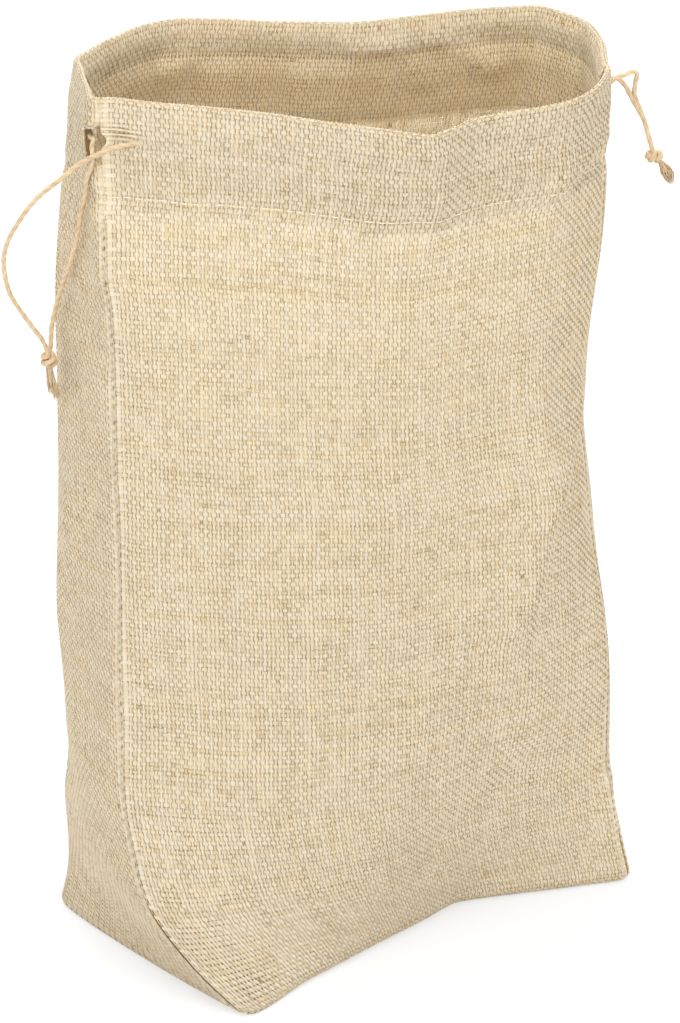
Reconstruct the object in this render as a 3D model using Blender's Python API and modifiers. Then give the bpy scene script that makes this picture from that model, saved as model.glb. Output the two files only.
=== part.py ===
"""Sack race bag: a child's hessian sack with a drawcord hem, standing open.

Two hessian panels are sewn together up both sides and along the bottom. The
top of each panel is turned in and stitched down as a casing, and two jute
cords run right round the mouth inside it. One cord comes out at the left side
slit and the other at the right, and each pair of ends is tied in a knot.

Units are metres and +Z is up. The origin is on the ground, at the middle of
the space that the cloth takes up. The front of the bag faces -Y.
"""

import math
from dataclasses import dataclass

import bmesh
import bpy
import numpy as np
from mathutils import Matrix

# Overall form of the standing bag
BAG_HEIGHT = 0.640
BAG_WIDTH = 0.416
BAG_DEPTH = 0.289

# Cloth and seams
CLOTH = 0.0014
BASE_FOLD = 0.007
SEAM_ALLOWANCE = 0.009
SEAM_GAP = 0.0006
SEAM_BUTT = 0.0021
FLAT_STEP = 0.006
THREAD_DIAMETER = 0.0010
THREAD_COVER = 0.0001
CLEARANCE = 0.0004

# Hem: the casing for the cords, and the land that is stitched down below it
CASING_DEPTH = 0.048
CASING_EASE = 0.0011
HEM_LAND = 0.028
HEM_EASE = 0.0010
HEM_SIDE_GAP = 0.006
STITCH_MARGIN = 0.008

# Side slits, measured down from the rim and out from the seam
SLIT_HEIGHT = 0.026
LEFT_SLIT_DROP = 0.034
LEFT_SLIT_FRONT = 0.020
LEFT_SLIT_BACK = 0.010
RIGHT_SLIT_DROP = 0.014
RIGHT_SLIT_FRONT = 0.009
RIGHT_SLIT_BACK = 0.009

# Drawcords and their knots
CORD_DIAMETER = 0.0034
CORD_LEAD = 0.006
SLACK_WAVES = 3
LEFT_KNOT = (0.0120, 0.0115, 0.0140)
RIGHT_KNOT = (0.0130, 0.0110, 0.0100)

# How finely the pieces are divided
PANEL_COLUMNS = 24
WALL_LEVELS = (0.035, 0.075, 0.14, 0.21, 0.31, 0.43, 0.55, 0.66, 0.77)
ALLOWANCE_LEVEL = 0.1
TUBE_RESOLUTION = 2
KNOT_SIDES = 12
KNOT_RINGS = 8

HEM_DEPTH = CASING_DEPTH + HEM_LAND
RIM_RADIUS = CLOTH + 0.5 * CORD_DIAMETER + CASING_EASE
CORD_SPACING = CORD_DIAMETER + CLEARANCE
CORD_STEP = 2.5 * CORD_DIAMETER

# Crease lines that shape the wall, in order round the bag from the left seam.
# A point is (height, x, y) in shares of the height, half width and half depth.
CREASES = {
    "left_seam": ((0.0, -0.34, -1.033), (0.031, -0.465, -0.943), (0.086, -0.64, -0.773),
                  (0.17, -0.73, -0.593), (0.31, -0.75, -0.463), (0.47, -0.755, -0.393),
                  (0.70, -0.755, -0.353), (1.0, -0.77, -0.273)),
    "front_left": ((0.0, -0.10, -0.693), (0.16, -0.24, -0.653), (0.31, -0.29, -0.563),
                   (0.70, -0.31, -0.463), (1.0, -0.31, -0.418)),
    "front_middle": ((0.0, 0.14, -0.343), (0.16, 0.20, -0.423), (0.31, 0.21, -0.423),
                     (0.70, 0.23, -0.443), (0.86, 0.27, -0.503), (1.0, 0.30, -0.648)),
    "front_fold": ((0.0, 0.27, -0.163), (0.16, 0.36, -0.253), (0.31, 0.40, -0.293),
                   (0.70, 0.42, -0.323), (0.86, 0.43, -0.373), (1.0, 0.41, -0.493)),
    "front_right": ((0.0, 0.395, 0.017), (0.16, 0.53, -0.083), (0.225, 0.585, -0.123),
                    (0.36, 0.635, -0.163), (0.48, 0.665, -0.183), (0.70, 0.645, -0.183),
                    (0.88, 0.66, -0.223), (1.0, 0.71, -0.293)),
    "right_seam": ((0.0, 1.0, 0.267), (0.047, 0.965, 0.267), (0.10, 0.93, 0.267),
                   (0.30, 0.895, 0.267), (0.445, 0.84, 0.257), (0.625, 0.795, 0.237),
                   (0.81, 0.83, 0.197), (1.0, 0.85, 0.147)),
    "right_back": ((0.0, 0.79, 0.687), (0.16, 0.80, 0.747), (0.62, 0.74, 0.752),
                   (1.0, 0.80, 0.787)),
    "back_right": ((0.0, 0.50, 0.967), (0.62, 0.59, 0.967), (1.0, 0.65, 0.967)),
    "back_middle": ((0.0, -0.02, 0.967), (0.62, -0.02, 0.907), (1.0, 0.0, 0.797)),
    "back_left": ((0.0, -0.64, 0.827), (0.62, -0.69, 0.827), (1.0, -0.62, 0.777)),
    "left_corner": ((0.0, -1.0, 0.027), (0.031, -0.975, 0.057), (0.16, -0.98, 0.097),
                    (0.53, -0.965, 0.097), (0.79, -0.95, 0.127), (1.0, -0.875, 0.257)),
}

# Rim height at each crease line, as a share of the bag's height.
RIM_LEVEL = (1.0, 0.998, 0.992, 0.995, 0.998, 1.0, 0.996, 1.0, 0.997, 1.0, 1.0)

# How softly the cloth turns at each crease line, from 0, folded, to 1, rounded.
SOFTNESS = (0.45, 1.0, 0.7, 0.7, 0.6, 0.6, 0.8, 0.7, 1.0, 0.6, 0.45)

# The bottom seam under the bag, from its left end to its right end, in plan.
BOTTOM_SEAM = ((-0.32, -0.848), (-0.216, -0.413), (0.096, 0.002), (0.43, 0.327), (0.87, 0.309))

# Free cord ends, from each slit to its knot. A point is (x, y, z) from the middle
# of the slit, on the outside of the cloth.
LEFT_FRONT_ROUTE = (
    (0.0021, -0.0107, 0.0005), (-0.0102, -0.0147, -0.0038), (-0.0269, -0.0147, -0.0152),
    (-0.0441, -0.0107, -0.0317), (-0.0562, -0.0047, -0.0505), (-0.0637, 0.0003, -0.0661),
    (-0.0672, 0.0053, -0.0812), (-0.0667, 0.0103, -0.0985), (-0.0635, 0.0153, -0.1130),
    (-0.0574, 0.0193, -0.1257), (-0.0506, 0.0223, -0.1381), (-0.0443, 0.0263, -0.1497),
    (-0.0419, 0.0288, -0.1582))
LEFT_BACK_ROUTE = (
    (-0.0046, -0.0030, -0.0070), (-0.0090, 0.0060, -0.0150), (-0.0108, 0.0098, -0.0293),
    (-0.0142, 0.0133, -0.0514), (-0.0175, 0.0168, -0.0694), (-0.0230, 0.0233, -0.0902),
    (-0.0301, 0.0318, -0.1110), (-0.0352, 0.0382, -0.1280), (-0.0387, 0.0385, -0.1430),
    (-0.0400, 0.0355, -0.1582))
LEFT_KNOT_PLACE = (-0.0410, 0.0313, -0.1658)
LEFT_FRONT_TAIL = ((-0.0405, 0.0275, -0.1735), (-0.0390, 0.0268, -0.1805),
                   (-0.0372, 0.0262, -0.1875), (-0.0356, 0.0258, -0.1945))
LEFT_TAIL_SPREAD = (1.0, 1.1, 1.3, 1.4)
LEFT_BACK_TAIL = ((-0.0412, 0.0325, -0.1735), (-0.0408, 0.0328, -0.1800),
                  (-0.0398, 0.0330, -0.1870), (-0.0390, 0.0332, -0.1935))
RIGHT_FRONT_ROUTE = (
    (0.0040, 0.0000, 0.0018), (0.0100, 0.0015, 0.0036), (0.0155, 0.0035, 0.0060),
    (0.0188, 0.0055, 0.0040), (0.0185, 0.0066, -0.0040), (0.0195, 0.0067, -0.0129),
    (0.0222, 0.0085, -0.0211), (0.0238, 0.0085, -0.0305), (0.0266, 0.0067, -0.0396),
    (0.0291, 0.0049, -0.0483))
RIGHT_BACK_ROUTE = (
    (0.0050, 0.0062, 0.0000), (0.0096, 0.0064, -0.0034), (0.0131, 0.0066, -0.0085),
    (0.0157, 0.0067, -0.0145), (0.0202, 0.0049, -0.0219), (0.0258, 0.0049, -0.0297),
    (0.0304, 0.0067, -0.0380), (0.0311, 0.0085, -0.0483))
RIGHT_KNOT_PLACE = (0.0309, 0.0067, -0.0539)
RIGHT_TAIL = ((0.0362, 0.0067, -0.0592), (0.0380, 0.0067, -0.0622), (0.0400, 0.0067, -0.0656),
              (0.0416, 0.0067, -0.0692), (0.0428, 0.0067, -0.0726), (0.0432, 0.0067, -0.0744))
RIGHT_TAIL_SPREAD = (1.0, 1.7, 2.4, 2.7, 2.1, 1.0)


def smooth_path(knots, points, where):
    """Point on a smooth curve through given points, at each place in where."""
    knots = np.asarray(knots, float)
    points = np.asarray(points, float)
    where = np.asarray(where, float)
    slopes = np.gradient(points, knots, axis=0)
    index = np.clip(np.searchsorted(knots, where) - 1, 0, len(knots) - 2)
    span = knots[index + 1] - knots[index]
    share = ((where - knots[index]) / span)[..., None]
    return hermite(points[index], points[index + 1], slopes[index], slopes[index + 1],
                   span[..., None], share)


def hermite(start, end, start_slope, end_slope, span, share):
    """Cubic piece between two points with given slopes."""
    square = share * share
    cube = square * share
    return ((2.0 * cube - 3.0 * square + 1.0) * start
            + (cube - 2.0 * square + share) * span * start_slope
            + (3.0 * square - 2.0 * cube) * end
            + (cube - square) * span * end_slope)


def path_lengths(points):
    """Distance along a line of points, from its first point to each of them."""
    steps = np.linalg.norm(np.diff(points, axis=0), axis=1)
    return np.concatenate(([0.0], np.cumsum(steps)))


def smooth_route(points, spacing):
    """Evenly spaced points on a smooth curve through a route's own points."""
    points = np.asarray(points, float)
    lengths = path_lengths(points)
    count = max(3, int(round(lengths[-1] / spacing)) + 1)
    return smooth_path(lengths, points, np.linspace(0.0, lengths[-1], count))


def seam_roll():
    """Radius of a rolled seam edge that just sinks the thread below the cloth's face."""
    reach = 0.5 * THREAD_DIAMETER + CLEARANCE
    half_gap = 0.5 * SEAM_GAP
    sunk = 0.5 * THREAD_DIAMETER + THREAD_COVER
    middle = sunk + reach - half_gap
    return middle + math.sqrt(middle ** 2 - (sunk ** 2 + half_gap ** 2 - reach ** 2))


SEAM_ROLL = seam_roll()
SEAM_EDGE = SEAM_ROLL + 0.5 * SEAM_GAP
THREAD_SUNK = 0.5 * THREAD_DIAMETER + THREAD_COVER


class Wall:
    """The smooth outer surface of the bag, drawn through its crease lines."""

    def __init__(self):
        self.half = np.array((0.5 * BAG_WIDTH, 0.5 * BAG_DEPTH))
        outline = self.crease_points(np.linspace(0.0, 1.0, 11))
        steps = np.roll(outline, -1, axis=1) - outline
        lengths = np.linalg.norm(steps, axis=2).mean(axis=0)
        self.knots = np.concatenate(([0.0], np.cumsum(lengths)))
        self.round = self.knots[-1]
        self.left_seam = 0.0
        self.right_seam = self.knots[list(CREASES).index("right_seam")]

    def crease_points(self, levels):
        """Plan position of every crease line at each level."""
        lines = []
        for crease in CREASES.values():
            table = np.array(crease)
            lines.append(smooth_path(table[:, 0], table[:, 1:] * self.half, levels))
        return np.stack(lines, axis=1)

    def around(self, control, places):
        """Values at places round the bag, smooth through one value per crease line."""
        def wrap(values, axis):
            ends = np.take(values, (-2, -1), axis), np.take(values, (0, 1, 2), axis)
            return np.concatenate((ends[0], values, ends[1]), axis)

        knots = np.concatenate((self.knots[-3:-1] - self.round, self.knots,
                                self.knots[1:3] + self.round))
        wrapped = wrap(control, 1)
        slopes = np.gradient(wrapped, knots, axis=1)
        slopes = slopes * wrap(np.array(SOFTNESS), 0)[None, :, None]
        index = np.clip(np.searchsorted(knots, places) - 1, 0, len(knots) - 2)
        row = np.arange(len(control))[:, None]
        span = (knots[index + 1] - knots[index])[..., None]
        share = (places - knots[index])[..., None] / span
        return hermite(wrapped[row, index], wrapped[row, index + 1],
                       slopes[row, index], slopes[row, index + 1], span, share)

    def plan(self, levels, places):
        """Plan position at each level (rows) and place round the bag (columns)."""
        return self.around(self.crease_points(np.asarray(levels)), places)

    def rim(self, places):
        """Height of the rim at each place."""
        control = np.tile(np.array(RIM_LEVEL)[None, :, None], (len(places), 1, 1))
        return BAG_HEIGHT * self.around(control, places)[..., 0]

    def inward(self, levels, places):
        """Level unit normal that points into the bag."""
        step = 0.002
        along = self.plan(levels, places + step) - self.plan(levels, places - step)
        along /= np.linalg.norm(along, axis=2, keepdims=True)
        return np.stack((-along[..., 1], along[..., 0]), axis=2)

    def under_rim(self, places, drops, depth):
        """Points a drop below the rim and a depth in from the cloth's outer face."""
        places = np.asarray(places, float).reshape(-1, 1) % self.round
        drops = np.asarray(drops, float) + np.zeros(len(places))
        levels = 1.0 - drops / BAG_HEIGHT
        plan = self.plan(levels, places) + self.inward(levels, places) * depth
        height = self.rim(places)[:, 0] - drops
        return np.column_stack((plan[:, 0], height))


@dataclass
class Row:
    """One row of the cloth, from the bottom seam up to the rim and down the hem."""

    level: float
    rim_share: float
    lift: float
    inset: float = 0.0
    base_share: float = 0.0
    turn: float = 0.0
    depth: float = 0.0
    travel: float = -BAG_HEIGHT
    rolled: bool = False
    allowance: bool = False


def seam_rows():
    """Bottom seam: the allowance turned up, the roll into it, and the flat base."""
    rows = [Row(0.0, 0.0, SEAM_ALLOWANCE, BASE_FOLD, 1.0, math.pi / 2)]
    for angle in (math.pi / 2, math.pi / 4, 0.0):
        rows.append(Row(0.0, 0.0, 0.0, BASE_FOLD, 1.0, angle))
    rows.append(Row(0.0, 0.0, 0.0, BASE_FOLD, 0.5))
    return rows


def fold_rows():
    """The fold where the base turns up into the wall."""
    rows = []
    for angle in (math.pi / 2, math.pi / 3, math.pi / 6, 0.0):
        rise = BASE_FOLD * (1.0 - math.sin(angle))
        inset = BASE_FOLD * (1.0 - math.cos(angle))
        rows.append(Row(rise / BAG_HEIGHT, 0.0, rise, inset))
    return rows


def wall_rows():
    """The upright wall, up to the start of the rim's roll."""
    rows = []
    for level in WALL_LEVELS:
        sewn = level > ALLOWANCE_LEVEL
        rows.append(Row(level, level, 0.0, rolled=sewn, allowance=sewn))
    low_slit = LEFT_SLIT_DROP + 0.5 * SLIT_HEIGHT
    quarter = 0.25 * SLIT_HEIGHT
    below = HEM_DEPTH + HEM_SIDE_GAP
    for drop in (below, HEM_DEPTH - STITCH_MARGIN, low_slit):
        rows.append(Row(1.0 - drop / BAG_HEIGHT, 1.0, -drop, travel=-drop, rolled=True,
                        allowance=drop == below))
    for drop in (low_slit - quarter, LEFT_SLIT_DROP, LEFT_SLIT_DROP - quarter,
                 LEFT_SLIT_DROP - 2.0 * quarter, RIGHT_SLIT_DROP, RIM_RADIUS):
        rows.append(Row(1.0 - drop / BAG_HEIGHT, 1.0, -drop, travel=-drop))
    return rows


def hem_rows():
    """The rim's roll, then the hem that hangs down inside the wall."""
    rows = []
    level = 1.0 - RIM_RADIUS / BAG_HEIGHT
    for angle in (math.pi / 4, math.pi / 2, 3.0 * math.pi / 4, math.pi):
        lift = RIM_RADIUS * (math.sin(angle) - 1.0)
        depth = RIM_RADIUS * (1.0 - math.cos(angle))
        rows.append(Row(level, 1.0, lift, depth=depth,
                        travel=RIM_RADIUS * (angle - math.pi / 2)))
    snug = 2.0 * CLOTH + HEM_EASE
    seat = HEM_DEPTH - 2.0 * STITCH_MARGIN
    for drop, depth in ((0.5 * CASING_DEPTH, 2.0 * RIM_RADIUS),
                        (CASING_DEPTH, 2.0 * RIM_RADIUS), (seat, snug), (HEM_DEPTH, snug)):
        rows.append(Row(1.0 - drop / BAG_HEIGHT, 1.0, -drop, depth=depth, travel=drop))
    return rows


@dataclass
class Slit:
    """The opening in a side seam where a cord comes out of the casing."""

    seam: float
    drop: float
    front: float
    back: float
    open_top: bool

    def gap(self, row, width):
        """How far a panel's side edge stands back from the seam at a row."""
        top = width if self.open_top else 0.0
        if row.travel > 0.0:
            return top + (HEM_SIDE_GAP - top) * min(1.0, row.travel / LEFT_SLIT_DROP)
        away = (-row.travel - self.drop) / (0.5 * SLIT_HEIGHT)
        if away < 0.0 and self.open_top:
            return width
        return width * max(0.0, 1.0 - away * away)


class Panel:
    """A cut piece of hessian that covers the bag from one seam to the next."""

    ROLL_ANGLES = (math.pi / 2, math.pi / 4, 0.0)
    FADE_COLUMNS = 2

    def __init__(self, wall, start, end, start_gap, end_gap):
        self.wall = wall
        self.start = start
        self.end = end
        self.side = -1.0 if start == wall.left_seam else 1.0
        self.rows = seam_rows() + fold_rows() + wall_rows() + hem_rows()
        self.level = np.array([row.level for row in self.rows])
        self.start_gap = np.array([start_gap(row) for row in self.rows])[:, None]
        self.end_gap = np.array([end_gap(row) for row in self.rows])[:, None]

    def column(self, name):
        """One number of every row, as a column."""
        return np.array([getattr(row, name) for row in self.rows], float)[:, None]

    def seam_share(self, places):
        """Share of the way along the bottom seam, from its left end, at each place."""
        share = (places - self.start) / (self.end - self.start)
        return share if self.side < 0.0 else 1.0 - share

    def position(self, places):
        """Outer face of the cloth at a place round the bag for each row and column."""
        plan = self.wall.plan(self.level, places)
        outline = self.wall.plan(np.zeros(len(self.rows)), places)
        seam, across = bottom_seam(self.wall, self.seam_share(places))
        way = seam - outline
        plan = plan + way / np.linalg.norm(way, axis=2, keepdims=True) * self.column("inset")[..., None]
        aside = SEAM_EDGE - SEAM_ROLL * np.sin(self.column("turn"))
        edge = seam + self.side * across * aside[..., None]
        plan = plan + (edge - plan) * self.column("base_share")[..., None]
        plan = plan + self.wall.inward(self.level, places) * self.column("depth")[..., None]
        height = self.column("rim_share") * self.wall.rim(places) + self.column("lift")
        height = height + SEAM_ROLL * (1.0 - np.cos(self.column("turn")))
        return np.concatenate((plan, height[..., None]), axis=2)

    def beside_seam(self, seam, side, distances):
        """Places at measured distances along the cloth from a seam, for each row."""
        fine = np.linspace(0.0, 0.15 * (self.end - self.start), 60)
        points = self.position(np.tile(seam + side * fine, (len(self.rows), 1)))
        away = [np.interp(distance, path_lengths(line), fine)
                for distance, line in zip(distances, points)]
        return seam + side * np.array(away)

    def seam_normal(self, seam):
        """Level direction in which the seam allowance is turned, at each row."""
        level = self.wall.inward(self.level, np.full((len(self.rows), 1), seam))[:, 0]
        return np.column_stack((level, np.zeros(len(level))))

    def places(self):
        """Place of every grid point, and how deep the seam edges are turned in."""
        rolled = self.column("rolled")
        offsets = [np.full_like(rolled, 0.5 * SEAM_GAP)]
        depths = [np.full_like(rolled, SEAM_ROLL + SEAM_ALLOWANCE)]
        for index, angle in enumerate(self.ROLL_ANGLES):
            flat = SEAM_BUTT + index * FLAT_STEP
            offsets.append(np.where(rolled, SEAM_EDGE - SEAM_ROLL * math.sin(angle), flat))
            depths.append(rolled * SEAM_ROLL * (1.0 - math.cos(angle)))
        offsets = np.concatenate(offsets, axis=1)
        depths = np.concatenate(depths, axis=1)

        first = self.beside_seam(self.start, 1.0, offsets + self.start_gap)
        last = self.beside_seam(self.end, -1.0, offsets + self.end_gap)
        left = self.beside_seam(self.start, 1.0, offsets[:, -1:])
        right = self.beside_seam(self.end, -1.0, offsets[:, -1:])
        count = np.arange(1, PANEL_COLUMNS)
        fade = np.clip(1.0 - count / self.FADE_COLUMNS, 0.0, 1.0)
        middle = (left + (right - left) * count / PANEL_COLUMNS
                  + (first[:, -1:] - left) * fade + (last[:, -1:] - right) * fade[::-1])
        return np.concatenate((first, middle, last[:, ::-1]), axis=1), depths

    def grid(self):
        """Points of the panel's outer face, by row and column."""
        places, depths = self.places()
        points = self.position(places)
        edge = depths.shape[1]
        points[:, :edge] += self.seam_normal(self.start)[:, None] * depths[..., None]
        points[:, -edge:] += self.seam_normal(self.end)[:, None] * depths[:, ::-1, None]
        return points

    def quads(self):
        """Faces of the grid, less the seam allowance where the cloth has none."""
        rows = len(self.rows)
        columns = PANEL_COLUMNS - 1 + 2 * (len(self.ROLL_ANGLES) + 1)
        corner = np.arange(rows * columns).reshape(rows, columns)
        quads = np.stack((corner[:-1, :-1], corner[:-1, 1:], corner[1:, 1:], corner[1:, :-1]),
                         axis=2)
        allowance = np.array([row.allowance for row in self.rows])
        keep = np.ones((rows - 1, columns - 1), bool)
        keep[:, 0] = allowance[:-1] & allowance[1:]
        keep[:, -1] = keep[:, 0]
        return quads[keep]

    def row_at(self, drop):
        """Index of the outer row at a drop below the rim."""
        return int(np.argmin(np.abs(self.column("travel")[:, 0] + drop)))

    def middle_places(self, drop):
        """Places of the plain columns between the seam edges, at an outer row."""
        edge = len(self.ROLL_ANGLES)
        return self.places()[0][self.row_at(drop), edge:-edge]


def bottom_seam(wall, share):
    """Plan position of the bottom seam, and its level normal towards the back."""
    line = np.array(BOTTOM_SEAM) * wall.half
    knots = np.linspace(0.0, 1.0, len(line))
    step = 0.01
    along = smooth_path(knots, line, share + step) - smooth_path(knots, line, share - step)
    along /= np.linalg.norm(along, axis=-1, keepdims=True)
    return smooth_path(knots, line, share), np.stack((-along[..., 1], along[..., 0]), axis=-1)


class Workshop:
    """Makes the bag's pieces and puts them in its collection."""

    def __init__(self):
        self.collection = bpy.data.collections.new("sack_race_bag")
        bpy.context.scene.collection.children.link(self.collection)

    def material(self, name, colour, roughness):
        """Plain finish for a piece."""
        material = bpy.data.materials.new(name)
        material.use_nodes = True
        shader = material.node_tree.nodes["Principled BSDF"]
        shader.inputs["Base Color"].default_value = (*colour, 1.0)
        shader.inputs["Roughness"].default_value = roughness
        shader.inputs["Metallic"].default_value = 0.0
        return material

    def add(self, name, data, material, parent=None):
        """Put a piece in the collection with its finish, on the empty that carries it."""
        obj = bpy.data.objects.new(name, data)
        self.collection.objects.link(obj)
        data.materials.append(material)
        if parent:
            obj.parent = parent
            obj.matrix_parent_inverse = parent.matrix_world.inverted()
        return obj

    def empty(self, name, place):
        """Carrier for the pieces of one moving body, on its joint's axis."""
        obj = bpy.data.objects.new(name, None)
        obj.location = place
        self.collection.objects.link(obj)
        bpy.context.view_layer.update()
        return obj

    def cloth(self, name, panel, material):
        """Cloth panel: its outer face, given the thickness of the hessian."""
        used, index = np.unique(panel.quads(), return_inverse=True)
        points = panel.grid().reshape(-1, 3)[used]
        mesh = bpy.data.meshes.new(name)
        mesh.from_pydata(points.tolist(), [], index.reshape(-1, 4).tolist())
        mesh.shade_smooth()
        obj = self.add(name, mesh, material)
        shell = obj.modifiers.new("cloth thickness", "SOLIDIFY")
        shell.thickness = CLOTH
        shell.offset = -1.0

    def tube(self, name, points, diameter, material, parent=None, radii=None):
        """Cord or thread: a round tube along a line of points."""
        curve = bpy.data.curves.new(name, "CURVE")
        curve.dimensions = "3D"
        spline = curve.splines.new("POLY")
        spline.points.add(len(points) - 1)
        for index, point in enumerate(points):
            spline.points[index].co = (*point, 1.0)
            if radii:
                spline.points[index].radius = radii[index]
        curve.bevel_depth = 0.5 * diameter
        curve.bevel_resolution = TUBE_RESOLUTION
        curve.use_fill_caps = True
        self.add(name, curve, material, parent)

    def knot(self, name, place, size, material, parent):
        """Tied knot: a plain barrel of its outer size."""
        stretch = np.diag((*size, 1.0))
        stretch[:3, 3] = place
        shape = bmesh.new()
        bmesh.ops.create_uvsphere(shape, u_segments=KNOT_SIDES, v_segments=KNOT_RINGS, radius=0.5,
                                  matrix=Matrix(stretch.tolist()))
        mesh = bpy.data.meshes.new(name)
        shape.to_mesh(mesh)
        shape.free()
        mesh.shade_smooth()
        self.add(name, mesh, material, parent)


def build_stitching(shop, wall, front, back, thread):
    """Sewing thread of the two side seams, the bottom seam and the hem."""
    sewn = [index for index, row in enumerate(front.rows) if row.rolled]
    for name, seam in (("left_side_stitching", wall.left_seam),
                       ("right_side_stitching", wall.right_seam)):
        line = front.position(np.full((len(front.rows), 1), seam))[:, 0]
        line = line + front.seam_normal(seam) * THREAD_SUNK
        shop.tube(name, line[sewn], THREAD_DIAMETER, thread)

    share = front.seam_share(front.middle_places(BAG_HEIGHT))[1:-1]
    line = np.column_stack((bottom_seam(wall, share)[0], np.full(len(share), THREAD_SUNK)))
    shop.tube("bottom_stitching", line, THREAD_DIAMETER, thread)

    drop = HEM_DEPTH - STITCH_MARGIN
    proud = -0.5 * THREAD_DIAMETER - CLEARANCE
    for name, panel in (("front_hem_stitching", front), ("back_hem_stitching", back)):
        places = panel.middle_places(drop)[1:-1]
        shop.tube(name, wall.under_rim(places, drop, proud), THREAD_DIAMETER, thread)


def cord_drop(wall, places):
    """Drop below the rim of the middle of the two cords, sagging between the slits."""
    halves = np.where(places <= wall.right_seam, places / wall.right_seam,
                      (wall.round - places) / (wall.round - wall.right_seam))
    level = LEFT_SLIT_DROP + (RIGHT_SLIT_DROP - LEFT_SLIT_DROP) * 0.5 * (1 - np.cos(np.pi * halves))
    room = CASING_DEPTH - LEFT_SLIT_DROP - CORD_SPACING - CASING_EASE
    return level + max(0.0, room) * 0.5 * (1.0 - np.cos(2.0 * np.pi * SLACK_WAVES * halves))


def cord_points(wall, places, below):
    """Points on a cord inside the casing, at places round the bag."""
    drops = cord_drop(wall, np.asarray(places) % wall.round) + below
    return wall.under_rim(places, drops, RIM_RADIUS)


def cord_run(wall, front, back, first, last, below):
    """Route of a cord in the casing, between two places, at the cloth's columns."""
    corner = FLAT_STEP * np.arange(-2, 3)
    columns = np.concatenate((wall.left_seam + corner, front.middle_places(LEFT_SLIT_DROP),
                              wall.right_seam + corner, back.middle_places(LEFT_SLIT_DROP)))
    columns = np.concatenate((columns, columns + wall.round))
    inside = columns[(columns > first + CORD_DIAMETER) & (columns < last - CORD_DIAMETER)]
    return cord_points(wall, np.concatenate(([first], inside, [last])), below)


def cord_end(wall, slit, cut, before, width, below, route):
    """Route of a free cord end: from where its run stops, out of the slit, to its knot."""
    ahead = cut - before
    ahead /= np.linalg.norm(ahead)
    start = cut + ahead * CLEARANCE
    inside = cut + ahead * CORD_DIAMETER
    lip = wall.under_rim([slit.seam + width], slit.drop + below, 0.0)
    points = np.vstack((inside, lip, slit_mouth(wall, slit) + np.array(route)))
    return np.vstack((start, smooth_route(points, CORD_STEP)))


def slit_mouth(wall, slit):
    """Middle of a slit, on the outside of the cloth."""
    return wall.under_rim([slit.seam], slit.drop, 0.0)[0]


def build_cords(shop, wall, front, back, left, right, twine):
    """The two drawcords: each one's run in the casing, free ends, knot and tails."""
    lower = 0.5 * CORD_SPACING
    run = cord_run(wall, front, back, left.seam + left.front + CORD_LEAD,
                   left.seam + wall.round - left.back - CORD_LEAD, lower)
    shop.tube("left_cord_run", run, CORD_DIAMETER, twine)
    mouth = slit_mouth(wall, left)
    place = mouth + np.array(LEFT_KNOT_PLACE)
    pull = shop.empty("left_drawstring", place)
    path = cord_end(wall, left, run[0], run[1], 0.5 * left.front, lower, LEFT_FRONT_ROUTE)
    shop.tube("left_cord_front_end", path, CORD_DIAMETER, twine, pull)
    path = cord_end(wall, left, run[-1], run[-2], -0.5 * left.back, lower, LEFT_BACK_ROUTE)
    shop.tube("left_cord_back_end", path, CORD_DIAMETER, twine, pull)
    shop.knot("left_knot", place, LEFT_KNOT, twine, pull)
    for name, route in (("left_front_tail", LEFT_FRONT_TAIL), ("left_back_tail", LEFT_BACK_TAIL)):
        shop.tube(name, mouth + np.array(route), CORD_DIAMETER, twine, pull, LEFT_TAIL_SPREAD)

    run = cord_run(wall, front, back, right.seam + right.back + CORD_LEAD,
                   right.seam + wall.round - right.front - CORD_LEAD, -lower)
    shop.tube("right_cord_run", run, CORD_DIAMETER, twine)
    mouth = slit_mouth(wall, right)
    place = mouth + np.array(RIGHT_KNOT_PLACE)
    pull = shop.empty("right_drawstring", place)
    path = cord_end(wall, right, run[-1], run[-2], -0.5 * right.front, -lower, RIGHT_FRONT_ROUTE)
    shop.tube("right_cord_front_end", path, CORD_DIAMETER, twine, pull)
    path = cord_end(wall, right, run[0], run[1], 0.5 * right.back, -lower, RIGHT_BACK_ROUTE)
    shop.tube("right_cord_back_end", path, CORD_DIAMETER, twine, pull)
    shop.knot("right_knot", place, RIGHT_KNOT, twine, pull)
    shop.tube("right_tail", mouth + np.array(RIGHT_TAIL), CORD_DIAMETER, twine, pull,
              RIGHT_TAIL_SPREAD)


def main():
    """Build the whole bag in an empty file."""
    for obj in list(bpy.data.objects):
        bpy.data.objects.remove(obj, do_unlink=True)
    shop = Workshop()
    hessian = shop.material("hessian", (0.72, 0.61, 0.42), 0.92)
    twine = shop.material("jute_twine", (0.60, 0.40, 0.20), 0.88)
    thread = shop.material("sewing_thread", (0.80, 0.71, 0.53), 0.75)

    wall = Wall()
    left = Slit(wall.left_seam, LEFT_SLIT_DROP, LEFT_SLIT_FRONT, LEFT_SLIT_BACK, False)
    right = Slit(wall.right_seam, RIGHT_SLIT_DROP, RIGHT_SLIT_FRONT, RIGHT_SLIT_BACK, True)
    front = Panel(wall, left.seam, right.seam,
                  lambda row: left.gap(row, left.front), lambda row: right.gap(row, right.front))
    back = Panel(wall, right.seam, left.seam + wall.round,
                 lambda row: right.gap(row, right.back), lambda row: left.gap(row, left.back))
    shop.cloth("front_panel", front, hessian)
    shop.cloth("back_panel", back, hessian)
    build_stitching(shop, wall, front, back, thread)
    build_cords(shop, wall, front, back, left, right, twine)


main()
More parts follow.
